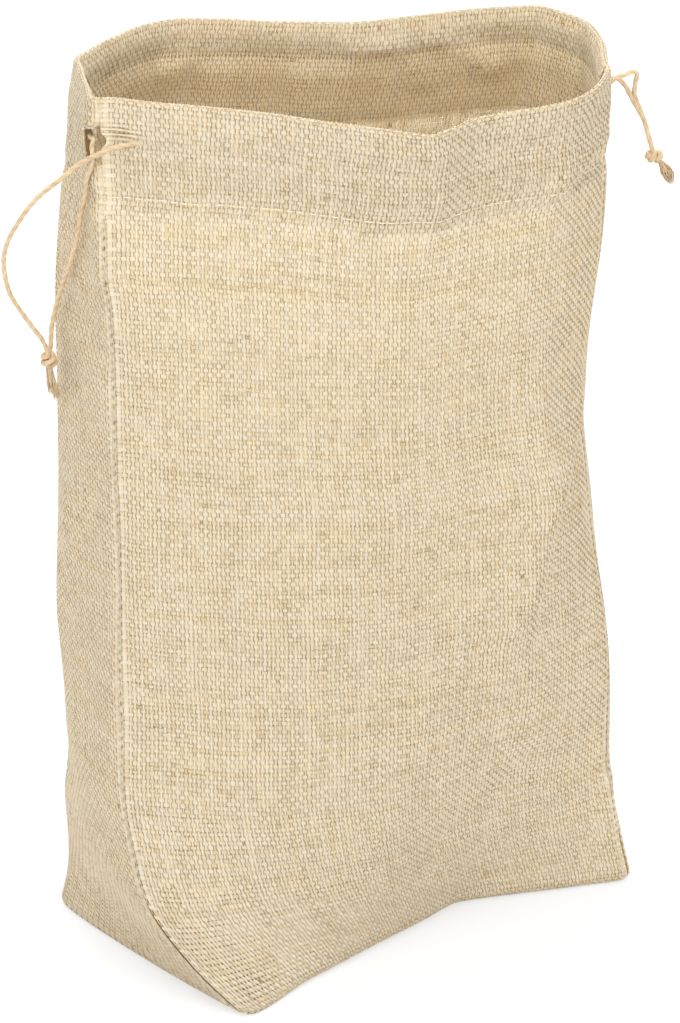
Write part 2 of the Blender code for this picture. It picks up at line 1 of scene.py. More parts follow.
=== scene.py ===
"""Looks of the sack race bag: woven hessian panels, jute drawcords and stitching.

The cloth is built thread by thread. The bag's outer wall is a smooth surface
through its crease lines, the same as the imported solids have. Each panel lays a
grid of thread crossings on that surface, from the bottom seam up the wall, over
the rim and down the hem, and every warp and weft thread is a crowned ribbon
that passes over and under the threads it crosses.

Units are metres and +Z is up. The front of the bag faces -Y.
"""

import logging
import math
from dataclasses import dataclass, field
from enum import Enum

import bpy
import numpy as np
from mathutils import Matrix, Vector

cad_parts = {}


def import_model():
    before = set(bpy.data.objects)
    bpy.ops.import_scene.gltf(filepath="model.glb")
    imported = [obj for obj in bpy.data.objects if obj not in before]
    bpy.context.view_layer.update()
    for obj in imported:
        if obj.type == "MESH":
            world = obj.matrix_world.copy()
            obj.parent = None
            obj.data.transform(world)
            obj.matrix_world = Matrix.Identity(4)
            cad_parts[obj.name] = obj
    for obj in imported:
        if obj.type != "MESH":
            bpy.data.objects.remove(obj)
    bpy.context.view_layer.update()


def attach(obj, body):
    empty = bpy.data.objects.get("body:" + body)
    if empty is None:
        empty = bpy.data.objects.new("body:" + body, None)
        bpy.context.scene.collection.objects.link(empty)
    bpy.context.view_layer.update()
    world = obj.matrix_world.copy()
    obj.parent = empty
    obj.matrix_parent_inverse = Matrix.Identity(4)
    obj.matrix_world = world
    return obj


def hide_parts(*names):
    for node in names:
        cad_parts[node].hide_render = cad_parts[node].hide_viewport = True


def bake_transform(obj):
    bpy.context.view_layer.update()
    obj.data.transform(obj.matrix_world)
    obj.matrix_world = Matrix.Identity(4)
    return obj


Array = np.ndarray
Point = tuple[float, float, float]

LOG = logging.getLogger("sack_race_bag")
PALETTE_MAP = "OFBake"
FULL_TURN = 2.0 * math.pi
QUARTER_TURN = 0.5 * math.pi
MOST_QUADS = 95_000
STEP_PEAK = 2.33


class Way(Enum):
    """The two directions in which a cloth's threads run."""

    WARP = "warp"
    WEFT = "weft"


class Body(Enum):
    """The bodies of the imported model."""

    BAG = "bag"
    LEFT = "left_drawstring"
    RIGHT = "right_drawstring"


class Slot(Enum):
    """The material slots of the record."""

    HESSIAN = "hessian"
    TWINE = "jute_twine"
    THREAD = "sewing_thread"


# Curves and meshes


def hermite(start: Array, end: Array, start_slope: Array, end_slope: Array,
            span: Array, share: Array) -> Array:
    """Cubic piece between two points with given slopes.

    Args:
        start: points at share 0.
        end: points at share 1.
        start_slope: slope at share 0, for each unit of span.
        end_slope: slope at share 1.
        span: length of the piece.
        share: how far along the piece, from 0 to 1.

    Returns:
        The points on the cubic.
    """
    square = share * share
    cube = square * share
    return ((2.0 * cube - 3.0 * square + 1.0) * start
            + (cube - 2.0 * square + share) * span * start_slope
            + (3.0 * square - 2.0 * cube) * end
            + (cube - square) * span * end_slope)


def smooth_path(knots: Array, points: Array, where: Array) -> Array:
    """Points on a smooth curve through given points.

    Args:
        knots: place of each given point along the curve.
        points: the given points.
        where: places along the curve.

    Returns:
        One point for each place, on cubic pieces with shared slopes.
    """
    knots = np.asarray(knots, float)
    points = np.asarray(points, float)
    where = np.asarray(where, float)
    slopes = np.gradient(points, knots, axis=0)
    index = np.clip(np.searchsorted(knots, where) - 1, 0, len(knots) - 2)
    span = knots[index + 1] - knots[index]
    share = ((where - knots[index]) / span)[..., None]
    return hermite(points[index], points[index + 1], slopes[index], slopes[index + 1],
                   span[..., None], share)


def path_lengths(points: Array) -> Array:
    """Distance along a line of points, from its first point to each of them."""
    steps = np.linalg.norm(np.diff(points, axis=0), axis=1)
    return np.concatenate(([0.0], np.cumsum(steps)))


def points_along(where: Array, along: Array, line: Array) -> Array:
    """Points at given distances along a line whose points have known distances."""
    return np.stack([np.interp(where, along, line[:, axis]) for axis in range(3)], axis=-1)


def smooth_route(points: Array, spacing: float) -> Array:
    """Evenly spaced points on a smooth curve through a route's own points.

    Args:
        points: the route's points.
        spacing: distance between the points that are returned.

    Returns:
        Points that are the same distance apart along the curve.
    """
    points = np.asarray(points, float)
    lengths = path_lengths(points)
    fine = smooth_path(lengths, points, np.linspace(0.0, lengths[-1], 40 * len(points)))
    along = path_lengths(fine)
    count = max(4, int(round(along[-1] / spacing)) + 1)
    return points_along(np.linspace(0.0, along[-1], count), along, fine)


def unit(vectors: Array) -> Array:
    """Vectors of length 1 in the same directions."""
    return vectors / np.maximum(np.linalg.norm(vectors, axis=-1, keepdims=True), 1e-12)


def smoothstep(values: Array, low: float, high: float) -> Array:
    """Smooth climb from 0 at low to 1 at high: 3 s squared less 2 s cubed."""
    share = np.clip((values - low) / (high - low), 0.0, 1.0)
    return share * share * (3.0 - 2.0 * share)


def drift(rng: np.random.Generator, threads: int, steps: int, reach: float) -> Array:
    """Smooth random values along each thread.

    A random value every reach steps, joined by half cosine waves.

    Args:
        rng: the seeded source of the values.
        threads: number of threads.
        steps: number of steps along a thread.
        reach: steps from one random value to the next.

    Returns:
        An array of threads by steps, with mean 0.
    """
    coarse = rng.standard_normal((threads, int(steps / reach) + 3))
    where = np.arange(steps)[None, :] / reach + rng.random((threads, 1))
    low = where.astype(int)
    share = 0.5 - 0.5 * np.cos(np.pi * (where - low))
    row = np.arange(threads)[:, None]
    return coarse[row, low] * (1.0 - share) + coarse[row, low + 1] * share


def path_frame(path: Array) -> tuple[Array, Array, Array]:
    """Direction and two side vectors at each point of a path.

    The side vectors are carried along the path by the least turn from one point
    to the next, so a profile on them doesn't twist.

    Args:
        path: points of the path.

    Returns:
        The unit directions, first sides and second sides.
    """
    ahead = unit(np.gradient(path, axis=0))
    start = np.cross(ahead[0], (0.0, 0.0, 1.0) if abs(ahead[0][2]) < 0.9 else (1.0, 0.0, 0.0))
    sides = [unit(start)]
    for way in ahead[1:]:
        last = sides[-1] - way * np.dot(sides[-1], way)
        sides.append(last / np.linalg.norm(last))
    first = np.array(sides)
    return ahead, first, np.cross(ahead, first)


def turn_angles(sides: int) -> Array:
    """Angles of a ring's points, evenly round it."""
    return np.linspace(0.0, FULL_TURN, sides, endpoint=False)


def rings(first: Array, second: Array, angles: Array) -> Array:
    """Unit circles on pairs of side vectors, with one point for each angle."""
    return (first[..., None, :] * np.cos(angles)[:, None]
            + second[..., None, :] * np.sin(angles)[:, None])


@dataclass
class Surface:
    """Points, faces and palette places of a piece that is being made."""

    points: list[Array] = field(default_factory=list)
    quads: list[Array] = field(default_factory=list)
    palette: list[Array] = field(default_factory=list)
    count: int = 0

    def add(self, points: Array, quads: Array, palette: Array) -> None:
        """Add a patch.

        Args:
            points: its points.
            quads: its faces, as indices of those points.
            palette: tone and warmth of each point, from 0 to 1.
        """
        self.points.append(points.reshape(-1, 3))
        self.quads.append(quads.reshape(-1, 4) + self.count)
        self.palette.append(palette.reshape(-1, 2))
        self.count += len(self.points[-1])

    def build(self, name: str, material: bpy.types.Material) -> bpy.types.Object:
        """Make the object.

        Args:
            name: name of the object and its mesh.
            material: its finish.

        Returns:
            The object, at the origin, with its tones as a palette map.
        """
        points = np.concatenate(self.points)
        quads = np.concatenate(self.quads)
        palette = np.clip(np.concatenate(self.palette), 0.01, 0.99)
        used, index = np.unique(quads, return_inverse=True)
        points, palette = points[used], palette[used]
        quads = index.reshape(-1, 4).astype(np.int32)
        mesh = bpy.data.meshes.new(name)
        mesh.vertices.add(len(points))
        mesh.vertices.foreach_set("co", points.astype(np.float32).ravel())
        mesh.loops.add(quads.size)
        mesh.loops.foreach_set("vertex_index", quads.ravel())
        mesh.polygons.add(len(quads))
        mesh.polygons.foreach_set("loop_start", np.arange(0, quads.size, 4, dtype=np.int32))
        mesh.update(calc_edges=True)
        mesh.validate()
        layer = mesh.uv_layers.new(name=PALETTE_MAP)
        layer.data.foreach_set("uv", palette[quads.ravel()].astype(np.float32).ravel())
        mesh.shade_smooth()
        mesh.materials.append(material)
        obj = bpy.data.objects.new(name, mesh)
        bpy.context.scene.collection.objects.link(obj)
        return obj


def set_on(piece: bpy.types.Object, node: str, slot: Slot, body: Body) -> None:
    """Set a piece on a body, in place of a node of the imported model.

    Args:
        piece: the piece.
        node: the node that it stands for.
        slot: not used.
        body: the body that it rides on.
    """
    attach(piece, body.value)
    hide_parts(node)
    LOG.info("%s: %d faces", piece.name, len(piece.data.polygons))


def grid_quads(rows: int, columns: int, closed: bool = False) -> Array:
    """Faces of a grid of points.

    Args:
        rows: points down the grid.
        columns: points across it.
        closed: if the last column joins the first.

    Returns:
        The faces, by row and column.
    """
    corner = np.arange(rows * columns).reshape(rows, columns)
    if closed:
        corner = np.concatenate((corner, corner[:, :1]), axis=1)
    return np.stack((corner[:-1, :-1], corner[:-1, 1:], corner[1:, 1:], corner[1:, :-1]), axis=2)


# Finishes


@dataclass(frozen=True)
class FibreFinish:
    """Plant fibre whose colour goes by a palette: tone across, warmth up.

    The tone runs from a bleached fibre to a dark one, whose dark end also carries the
    painted shade of the gaps between threads and of the grooves of a cord, and the
    warmth mixes in the same tones of a more golden fibre.
    """

    name: str
    pale: Point
    middle: Point
    dark: Point
    golden: Point
    rough: tuple[float, float] = (0.82, 0.95)
    sheen: float = 0.12
    glow: float = 0.0

    def material(self) -> bpy.types.Material:
        """Make the material: two mixed tone ramps, and a roughness that follows the tone.

        Returns:
            The material.
        """
        material = bpy.data.materials.new(self.name)
        material.use_nodes = True
        tree = material.node_tree
        shader = tree.nodes["Principled BSDF"]
        shader.inputs["Metallic"].default_value = 0.0
        shader.inputs["Specular IOR Level"].default_value = 0.25
        shader.inputs["Sheen Weight"].default_value = self.sheen
        shader.inputs["Sheen Roughness"].default_value = 0.6
        place = tree.nodes.new("ShaderNodeUVMap")
        place.uv_map = PALETTE_MAP
        split = tree.nodes.new("ShaderNodeSeparateXYZ")
        tree.links.new(place.outputs["UV"], split.inputs["Vector"])
        ramps = [self.ramp(tree, split.outputs["X"], tint)
                 for tint in ((1.0, 1.0, 1.0), self.golden)]
        blend = tree.nodes.new("ShaderNodeMix")
        blend.data_type = "RGBA"
        tree.links.new(split.outputs["Y"], blend.inputs["Factor"])
        tree.links.new(ramps[0], blend.inputs["A"])
        tree.links.new(ramps[1], blend.inputs["B"])
        tree.links.new(blend.outputs["Result"], shader.inputs["Base Color"])
        rough = tree.nodes.new("ShaderNodeMapRange")
        rough.inputs["To Min"].default_value = self.rough[0]
        rough.inputs["To Max"].default_value = self.rough[1]
        tree.links.new(split.outputs["X"], rough.inputs["Value"])
        tree.links.new(rough.outputs["Result"], shader.inputs["Roughness"])
        if self.glow:
            self.let_light_through(tree, shader, blend.outputs["Result"])
        return material

    def let_light_through(self, tree: bpy.types.NodeTree, shader: bpy.types.ShaderNode,
                          colour: bpy.types.NodeSocket) -> None:
        """Mix in a translucent share, as thin plant fibre has.

        Args:
            tree: the material's nodes.
            shader: the opaque shader.
            colour: the fibre's colour.
        """
        through = tree.nodes.new("ShaderNodeBsdfTranslucent")
        tree.links.new(colour, through.inputs["Color"])
        mix = tree.nodes.new("ShaderNodeMixShader")
        mix.inputs["Fac"].default_value = self.glow
        tree.links.new(shader.outputs["BSDF"], mix.inputs[1])
        tree.links.new(through.outputs["BSDF"], mix.inputs[2])
        tree.links.new(mix.outputs["Shader"], tree.nodes["Material Output"].inputs["Surface"])

    def ramp(self, tree: bpy.types.NodeTree, tone: bpy.types.NodeSocket,
             tint: Point) -> bpy.types.NodeSocket:
        """Colour of each tone, tinted.

        Args:
            tree: the material's nodes.
            tone: the tone's socket.
            tint: factor on red, green and blue.

        Returns:
            The socket of the colour.
        """
        node = tree.nodes.new("ShaderNodeValToRGB")
        stops = node.color_ramp.elements
        stops.new(0.5)
        for stop, colour in zip(stops, (self.pale, self.middle, self.dark)):
            stop.color = (*(part * share for part, share in zip(colour, tint)), 1.0)
        tree.links.new(tone, node.inputs["Fac"])
        return node.outputs["Color"]


HESSIAN = FibreFinish("hessian_fibre", (0.95, 0.88, 0.73), (0.74, 0.62, 0.42),
                      (0.17, 0.105, 0.04), (1.02, 0.95, 0.80), glow=0.32)
JUTE = FibreFinish("jute_twine_fibre", (0.76, 0.62, 0.43), (0.60, 0.45, 0.28),
                   (0.30, 0.17, 0.08), (1.0, 0.94, 0.80), sheen=0.2)
THREAD = FibreFinish("sewing_thread_fibre", (0.88, 0.81, 0.66), (0.80, 0.71, 0.53),
                     (0.56, 0.43, 0.27), (1.0, 0.95, 0.80), rough=(0.6, 0.8))


# The bag's form


class FoldKind(Enum):
    """How a small fold lifts the cloth: the same on both sides of its line, or as a step."""

    RIDGE = "ridge"
    STEP = "step"


@dataclass(frozen=True)
class SmallFold:
    """A small fold along a line on the wall, whose points are (place round, height).

    A ridge lifts the cloth by its rise times exp(-d squared), with d the distance from
    the line in widths, or sinks it where the rise is less than 0. A step lifts the
    cloth on the line's left and sinks it on its right, by the rise times
    2.33 e exp(-d squared), with e the part of d that is square to the line; the
    factor makes the rise its highest lift.
    """

    line: tuple[tuple[float, float], ...]
    rise: float
    width: float
    kind: FoldKind = FoldKind.RIDGE

    def push(self, places: Array, heights: Array) -> Array:
        """How far the fold lifts the cloth.

        Args:
            places: places round the bag.
            heights: height at each place.

        Returns:
            The lift at each place and height.
        """
        nearest = np.full(places.shape, np.inf)
        aside = np.zeros(places.shape)
        points = np.array(self.line)
        for start, end in zip(points[:-1], points[1:]):
            way = end - start
            from_x, from_y = places - start[0], heights - start[1]
            share = np.clip((from_x * way[0] + from_y * way[1]) / (way @ way), 0.0, 1.0)
            away = np.hypot(from_x - share * way[0], from_y - share * way[1])
            closer = away < nearest
            nearest = np.where(closer, away, nearest)
            square = (way[0] * from_y - way[1] * from_x) / np.hypot(*way)
            aside = np.where(closer, square, aside)
        lift = self.rise * np.exp(-(nearest / self.width) ** 2)
        return lift * STEP_PEAK * aside / self.width if self.kind is FoldKind.STEP else lift


@dataclass
class BagForm:
    """The smooth outer surface of the bag, drawn through its crease lines.

    A crease line's point is (height, x, y) in shares of the height, half width and
    half depth. Between crease lines the wall is a cubic in plan, whose slopes at a
    crease are eased by its softness.
    """

    height: float = 0.640
    width: float = 0.416
    depth: float = 0.289
    creases: dict[str, tuple[Point, ...]] = field(default_factory=lambda: {
        "left_seam": ((0.0, -0.34, -1.033), (0.031, -0.465, -0.943), (0.086, -0.64, -0.773),
                      (0.17, -0.73, -0.593), (0.31, -0.75, -0.463), (0.47, -0.755, -0.393),
                      (0.70, -0.755, -0.353), (1.0, -0.77, -0.273)),
        "front_left": ((0.0, -0.10, -0.693), (0.16, -0.24, -0.653), (0.31, -0.29, -0.563),
                       (0.70, -0.31, -0.463), (1.0, -0.31, -0.418)),
        "front_middle": ((0.0, 0.14, -0.343), (0.16, 0.20, -0.423), (0.31, 0.21, -0.423),
                         (0.70, 0.23, -0.443), (0.86, 0.27, -0.503), (1.0, 0.30, -0.648)),
        "front_fold": ((0.0, 0.27, -0.163), (0.16, 0.36, -0.253), (0.31, 0.40, -0.293),
                       (0.70, 0.42, -0.323), (0.86, 0.43, -0.373), (1.0, 0.41, -0.493)),
        "front_right": ((0.0, 0.395, 0.017), (0.16, 0.53, -0.083), (0.225, 0.585, -0.123),
                        (0.36, 0.635, -0.163), (0.48, 0.665, -0.183), (0.70, 0.645, -0.183),
                        (0.88, 0.66, -0.223), (1.0, 0.71, -0.293)),
        "right_seam": ((0.0, 1.0, 0.267), (0.047, 0.965, 0.267), (0.10, 0.93, 0.267),
                       (0.30, 0.895, 0.267), (0.445, 0.84, 0.257), (0.625, 0.795, 0.237),
                       (0.81, 0.83, 0.197), (1.0, 0.85, 0.147)),
        "right_back": ((0.0, 0.79, 0.687), (0.16, 0.80, 0.747), (0.62, 0.74, 0.752),
                       (1.0, 0.80, 0.787)),
        "back_right": ((0.0, 0.50, 0.967), (0.62, 0.59, 0.967), (1.0, 0.65, 0.967)),
        "back_middle": ((0.0, -0.02, 0.967), (0.62, -0.02, 0.907), (1.0, 0.0, 0.797)),
        "back_left": ((0.0, -0.64, 0.827), (0.62, -0.69, 0.827), (1.0, -0.62, 0.777)),
        "left_corner": ((0.0, -1.0, 0.027), (0.031, -0.975, 0.057), (0.16, -0.98, 0.097),
                        (0.53, -0.965, 0.097), (0.79, -0.95, 0.127), (1.0, -0.875, 0.257)),
    })
    rim_level: tuple[float, ...] = (1.0, 0.998, 0.992, 0.995, 0.998, 1.0, 0.996, 1.0, 0.997,
                                    1.0, 1.0)
    softness: tuple[float, ...] = (0.45, 1.0, 0.7, 0.7, 0.6, 0.6, 0.8, 0.7, 1.0, 0.6, 0.45)
    bottom_seam: tuple[tuple[float, float], ...] = (
        (-0.32, -0.848), (-0.216, -0.413), (0.096, 0.002), (0.43, 0.327), (0.87, 0.309))
    small_folds: tuple[SmallFold, ...] = (
        SmallFold(((0.3550, 0.380), (0.3263, 0.3485), (0.2990, 0.312), (0.2890, 0.249)),
                  -0.0040, 0.018, FoldKind.STEP),
        SmallFold(((0.3480, 0.5890), (0.3214, 0.5820), (0.2884, 0.5669)), 0.0034, 0.011),
        SmallFold(((0.3480, 0.5890), (0.3214, 0.5820), (0.2884, 0.5669)), -0.0026, 0.014,
                  FoldKind.STEP),
        SmallFold(((0.3450, 0.6150), (0.3000, 0.6020)), -0.0022, 0.012),
        SmallFold(((0.2049, 0.6350), (0.2322, 0.6279), (0.2512, 0.6222), (0.2659, 0.6066)),
                  -0.0034, 0.0080),
        SmallFold(((0.9100, 0.4850), (0.9360, 0.4734), (0.9620, 0.4600)), -0.0038, 0.013),
        SmallFold(((0.3052, 0.1187), (0.2694, 0.0887), (0.2287, 0.0630)), -0.0042, 0.017),
        SmallFold(((0.3700, 0.0850), (0.3620, 0.0605), (0.3560, 0.0327), (0.3570, 0.0160)),
                  0.0026, 0.011, FoldKind.STEP),
        SmallFold(((0.0400, 0.5950), (0.0700, 0.5850), (0.1200, 0.5800)), -0.0018, 0.009),
        SmallFold(((0.9670, 0.6600), (0.9680, 0.5750), (0.9730, 0.5200)), 0.0065, 0.018),
        SmallFold(((0.7590, 0.6010), (0.7450, 0.6060), (0.7300, 0.6120)), -0.0028, 0.0110),
        SmallFold(((0.6200, 0.6200), (0.5740, 0.6200), (0.5580, 0.6085), (0.5470, 0.5960)),
                  -0.0030, 0.0080),
        SmallFold(((0.6050, 0.6200), (0.5920, 0.6085), (0.5850, 0.5900)), -0.0022, 0.0080),
        SmallFold(((0.6400, 0.3200), (0.6800, 0.2300), (0.7400, 0.1700)), -0.0040, 0.022),
        SmallFold(((0.5200, 0.4300), (0.5800, 0.3600), (0.6100, 0.2800)), 0.0035, 0.020),
        SmallFold(((0.8200, 0.2700), (0.8600, 0.2100), (0.8900, 0.1200)), -0.0035, 0.018),
    )
    casing_puff: float = 0.0016
    puff_band: tuple[float, float] = (0.026, 0.018)
    stitch_pinch: float = 0.0013
    pinch_band: tuple[float, float] = (0.068, 0.006)
    pucker: float = 0.0007
    pucker_band: tuple[float, float] = (0.058, 0.026)
    unevenness: float = 0.0008
    long_waves: tuple[tuple[float, float, float, float], ...] = (
        (1.0, 5.0, 1.7, 0.0), (1.0, 8.0, -2.6, 1.0),
        (0.7, 13.0, 3.3, 2.2), (0.5, 21.0, -4.7, 0.4))
    even_below: float = 0.05

    def __post_init__(self) -> None:
        """Work out where the crease lines lie round the bag."""
        self.half = np.array((0.5 * self.width, 0.5 * self.depth))
        outline = self.crease_points(np.linspace(0.0, 1.0, 11))
        steps = np.roll(outline, -1, axis=1) - outline
        lengths = np.linalg.norm(steps, axis=2).mean(axis=0)
        self.knots = np.concatenate(([0.0], np.cumsum(lengths)))
        self.round = float(self.knots[-1])
        self.left_seam = 0.0
        self.right_seam = float(self.knots[list(self.creases).index("right_seam")])

    def crease_points(self, levels: Array) -> Array:
        """Plan position of every crease line at each level."""
        tables = [np.array(crease) for crease in self.creases.values()]
        return np.stack([smooth_path(table[:, 0], table[:, 1:] * self.half, levels)
                         for table in tables], axis=1)

    def around(self, control: Array, places: Array) -> Array:
        """Values round the bag, smooth through one value per crease line.

        Args:
            control: values by row and crease line.
            places: places round the bag by row and column.

        Returns:
            The values by row and column.
        """
        def wrap(values: Array, axis: int) -> Array:
            """Values carried two crease lines past each end of the round."""
            ends = np.take(values, (-2, -1), axis), np.take(values, (0, 1, 2), axis)
            return np.concatenate((ends[0], values, ends[1]), axis)

        knots = np.concatenate((self.knots[-3:-1] - self.round, self.knots,
                                self.knots[1:3] + self.round))
        wrapped = wrap(control, 1)
        slopes = np.gradient(wrapped, knots, axis=1)
        slopes = slopes * wrap(np.array(self.softness), 0)[None, :, None]
        index = np.clip(np.searchsorted(knots, places) - 1, 0, len(knots) - 2)
        row = np.arange(len(control))[:, None]
        span = (knots[index + 1] - knots[index])[..., None]
        share = (places - knots[index])[..., None] / span
        return hermite(wrapped[row, index], wrapped[row, index + 1],
                       slopes[row, index], slopes[row, index + 1], span, share)

    def smooth_plan(self, levels: Array, places: Array) -> Array:
        """Plan position before the small folds, by level (rows) and place (columns)."""
        return self.around(self.crease_points(np.asarray(levels)), places)

    def plan(self, levels: Array, places: Array) -> Array:
        """Plan position of the wall, with its small folds.

        Args:
            levels: levels, as shares of the height.
            places: places round the bag by level and column.

        Returns:
            The positions, by level and column.
        """
        step = 0.004
        along = unit(self.smooth_plan(levels, places + step)
                     - self.smooth_plan(levels, places - step))
        outward = np.stack((along[..., 1], -along[..., 0]), axis=2)
        heights = self.height * np.asarray(levels)[:, None] + np.zeros_like(places)
        push = self.push(places % self.round, heights)
        return self.smooth_plan(levels, places) + outward * push[..., None]

    def push(self, places: Array, heights: Array) -> Array:
        """How far the small folds, the casing and the cloth's unevenness move it outward.

        The casing swells between the rim and its stitching, which draws the cloth in, each
        by exp(-d squared), with d the drop from the band's middle in band widths. The
        puckers there are waves round the bag. The unevenness is a sum of long waves, each a
        size times the sine of (a turns round + b turns up + a phase).

        Args:
            places: places round the bag.
            heights: height at each place.

        Returns:
            The distance outward at each place and height.
        """
        total = np.zeros(places.shape)
        for fold in self.small_folds:
            total += fold.push(places, heights) + fold.push(places + self.round, heights)
        drop = self.height - heights

        def band(middle: float, width: float) -> Array:
            """Bell shape round a drop below the rim."""
            return np.exp(-((drop - middle) / width) ** 2)

        turn = FULL_TURN * places / self.round
        tall = FULL_TURN * heights / self.height
        total += self.casing_puff * band(*self.puff_band)
        total -= band(*self.pinch_band) * self.stitch_pinch
        wave = (np.sin(31.0 * turn + 2.0 * np.sin(3.0 * turn))
                + 0.7 * np.sin(19.0 * turn + 1.3))
        total += self.pucker * wave * band(*self.pucker_band)
        waves = np.zeros(places.shape)
        for size, across, up, phase in self.long_waves:
            waves += size * np.sin(across * turn + up * tall + phase)
        return total + self.unevenness * waves * smoothstep(heights, 0.0, self.even_below)

    def rim(self, places: Array) -> Array:
        """Height of the rim at each place."""
        control = np.tile(np.array(self.rim_level)[None, :, None], (len(places), 1, 1))
        return self.height * self.around(control, places)[..., 0]

    def inward(self, levels: Array, places: Array) -> Array:
        """Level unit normal that points into the bag.

        Args:
            levels: levels, as shares of the height.
            places: places round the bag by level and column.

        Returns:
            The normals, by level and column.
        """
        step = 0.002
        along = unit(self.plan(levels, places + step) - self.plan(levels, places - step))
        return np.stack((-along[..., 1], along[..., 0]), axis=2)

    def under_rim(self, places: Array, drops: Array | float, depth: float) -> Array:
        """Points below the rim and in from the cloth's outer face.

        Args:
            places: places round the bag.
            drops: drop below the rim at each place.
            depth: distance in from the outer face.

        Returns:
            One point for each place.
        """
        places = np.asarray(places, float).reshape(-1, 1) % self.round
        drops = np.asarray(drops, float) + np.zeros(len(places))
        levels = 1.0 - drops / self.height
        plan = (self.plan(levels, places) + self.inward(levels, places) * depth)[:, 0]
        return np.column_stack((plan, self.rim(places)[:, 0] - drops))

    def seam_line(self, share: Array) -> tuple[Array, Array]:
        """Plan position of the bottom seam, and its level normal towards the back.

        Args:
            share: how far along the seam, from 0 at the left to 1 at the right.

        Returns:
            The positions and the normals.
        """
        line = np.array(self.bottom_seam) * self.half
        knots = np.linspace(0.0, 1.0, len(line))
        step = 0.01
        along = unit(smooth_path(knots, line, share + step) - smooth_path(knots, line, share - step))
        return smooth_path(knots, line, share), np.stack((-along[..., 1], along[..., 0]), axis=-1)


@dataclass(frozen=True)
class Sewing:
    """Sizes of the seams, the hem and the slits.

    The lap is how far the edge threads of the two panels pass over the seam's line. It is
    whole in the lap rows, near the rim, and the seam lap's share of that lower down.
    """

    cloth: float = 0.0014
    base_fold: float = 0.007
    allowance: float = 0.009
    seam_gap: float = 0.0001
    seam_butt: float = 0.0012
    seam_roll: float = 0.0008
    thread: float = 0.0010
    thread_sunk: float = 0.0006
    hem_depth: float = 0.076
    hem_side_gap: float = 0.006
    hem_snug: float = 0.0021
    casing_room: float = 0.0078
    casing_span: tuple[float, float] = (0.010, 0.038)
    hem_groove: float = 0.0011
    groove_drop: float = 0.0255
    groove_width: float = 0.0024
    stitch_margin: float = 0.008
    rim_radius: float = 0.0022
    rim_lap: float = 0.0013
    lap_reach: float = 0.020
    lap_rows: tuple[float, float] = (-0.092, -0.084)
    seam_lap: float = 0.45
    slit_height: float = 0.026
    low_level: float = 0.04
    sewn_level: float = 0.11
    bottom_span: tuple[float, float] = (0.03, 0.97)
    hem_end: float = 0.008
    shown_from: tuple[float, float] = (0.130, 0.150)
    shown_to: tuple[float, float] = (0.230, 0.250)
    shown_rise: float = 0.4
    hidden_sink: float = 0.25


@dataclass(frozen=True)
class SlitLip:
    """One side of a slit: how far the cloth's edge stands back from the seam.

    The lip opens between the two drops of its top, smoothly, and closes between those
    of its bottom. Past the rim, inside, the hem's own side gap takes its place.
    """

    reach: float
    top: tuple[float, float]
    bottom: tuple[float, float]
    hem_turn: float = 0.034

    def gap(self, travel: Array, sewing: Sewing) -> Array:
        """How far the edge stands back from the seam.

        Args:
            travel: distance along the cloth from the rim, less than 0 outside.
            sewing: sizes of seams and hem.

        Returns:
            The distance at each place along the cloth.
        """
        open_share = smoothstep(-travel, *self.top) * (1.0 - smoothstep(-travel, *self.bottom))
        inside = sewing.hem_side_gap * np.clip(travel / self.hem_turn, 0.0, 1.0)
        return np.where(travel > 0.0, inside, self.reach * open_share)


@dataclass(frozen=True)
class Slit:
    """The opening in a side seam where a cord comes out of the casing."""

    seam: float
    drop: float
    front: SlitLip
    back: SlitLip
    cord_front: float
    cord_back: float


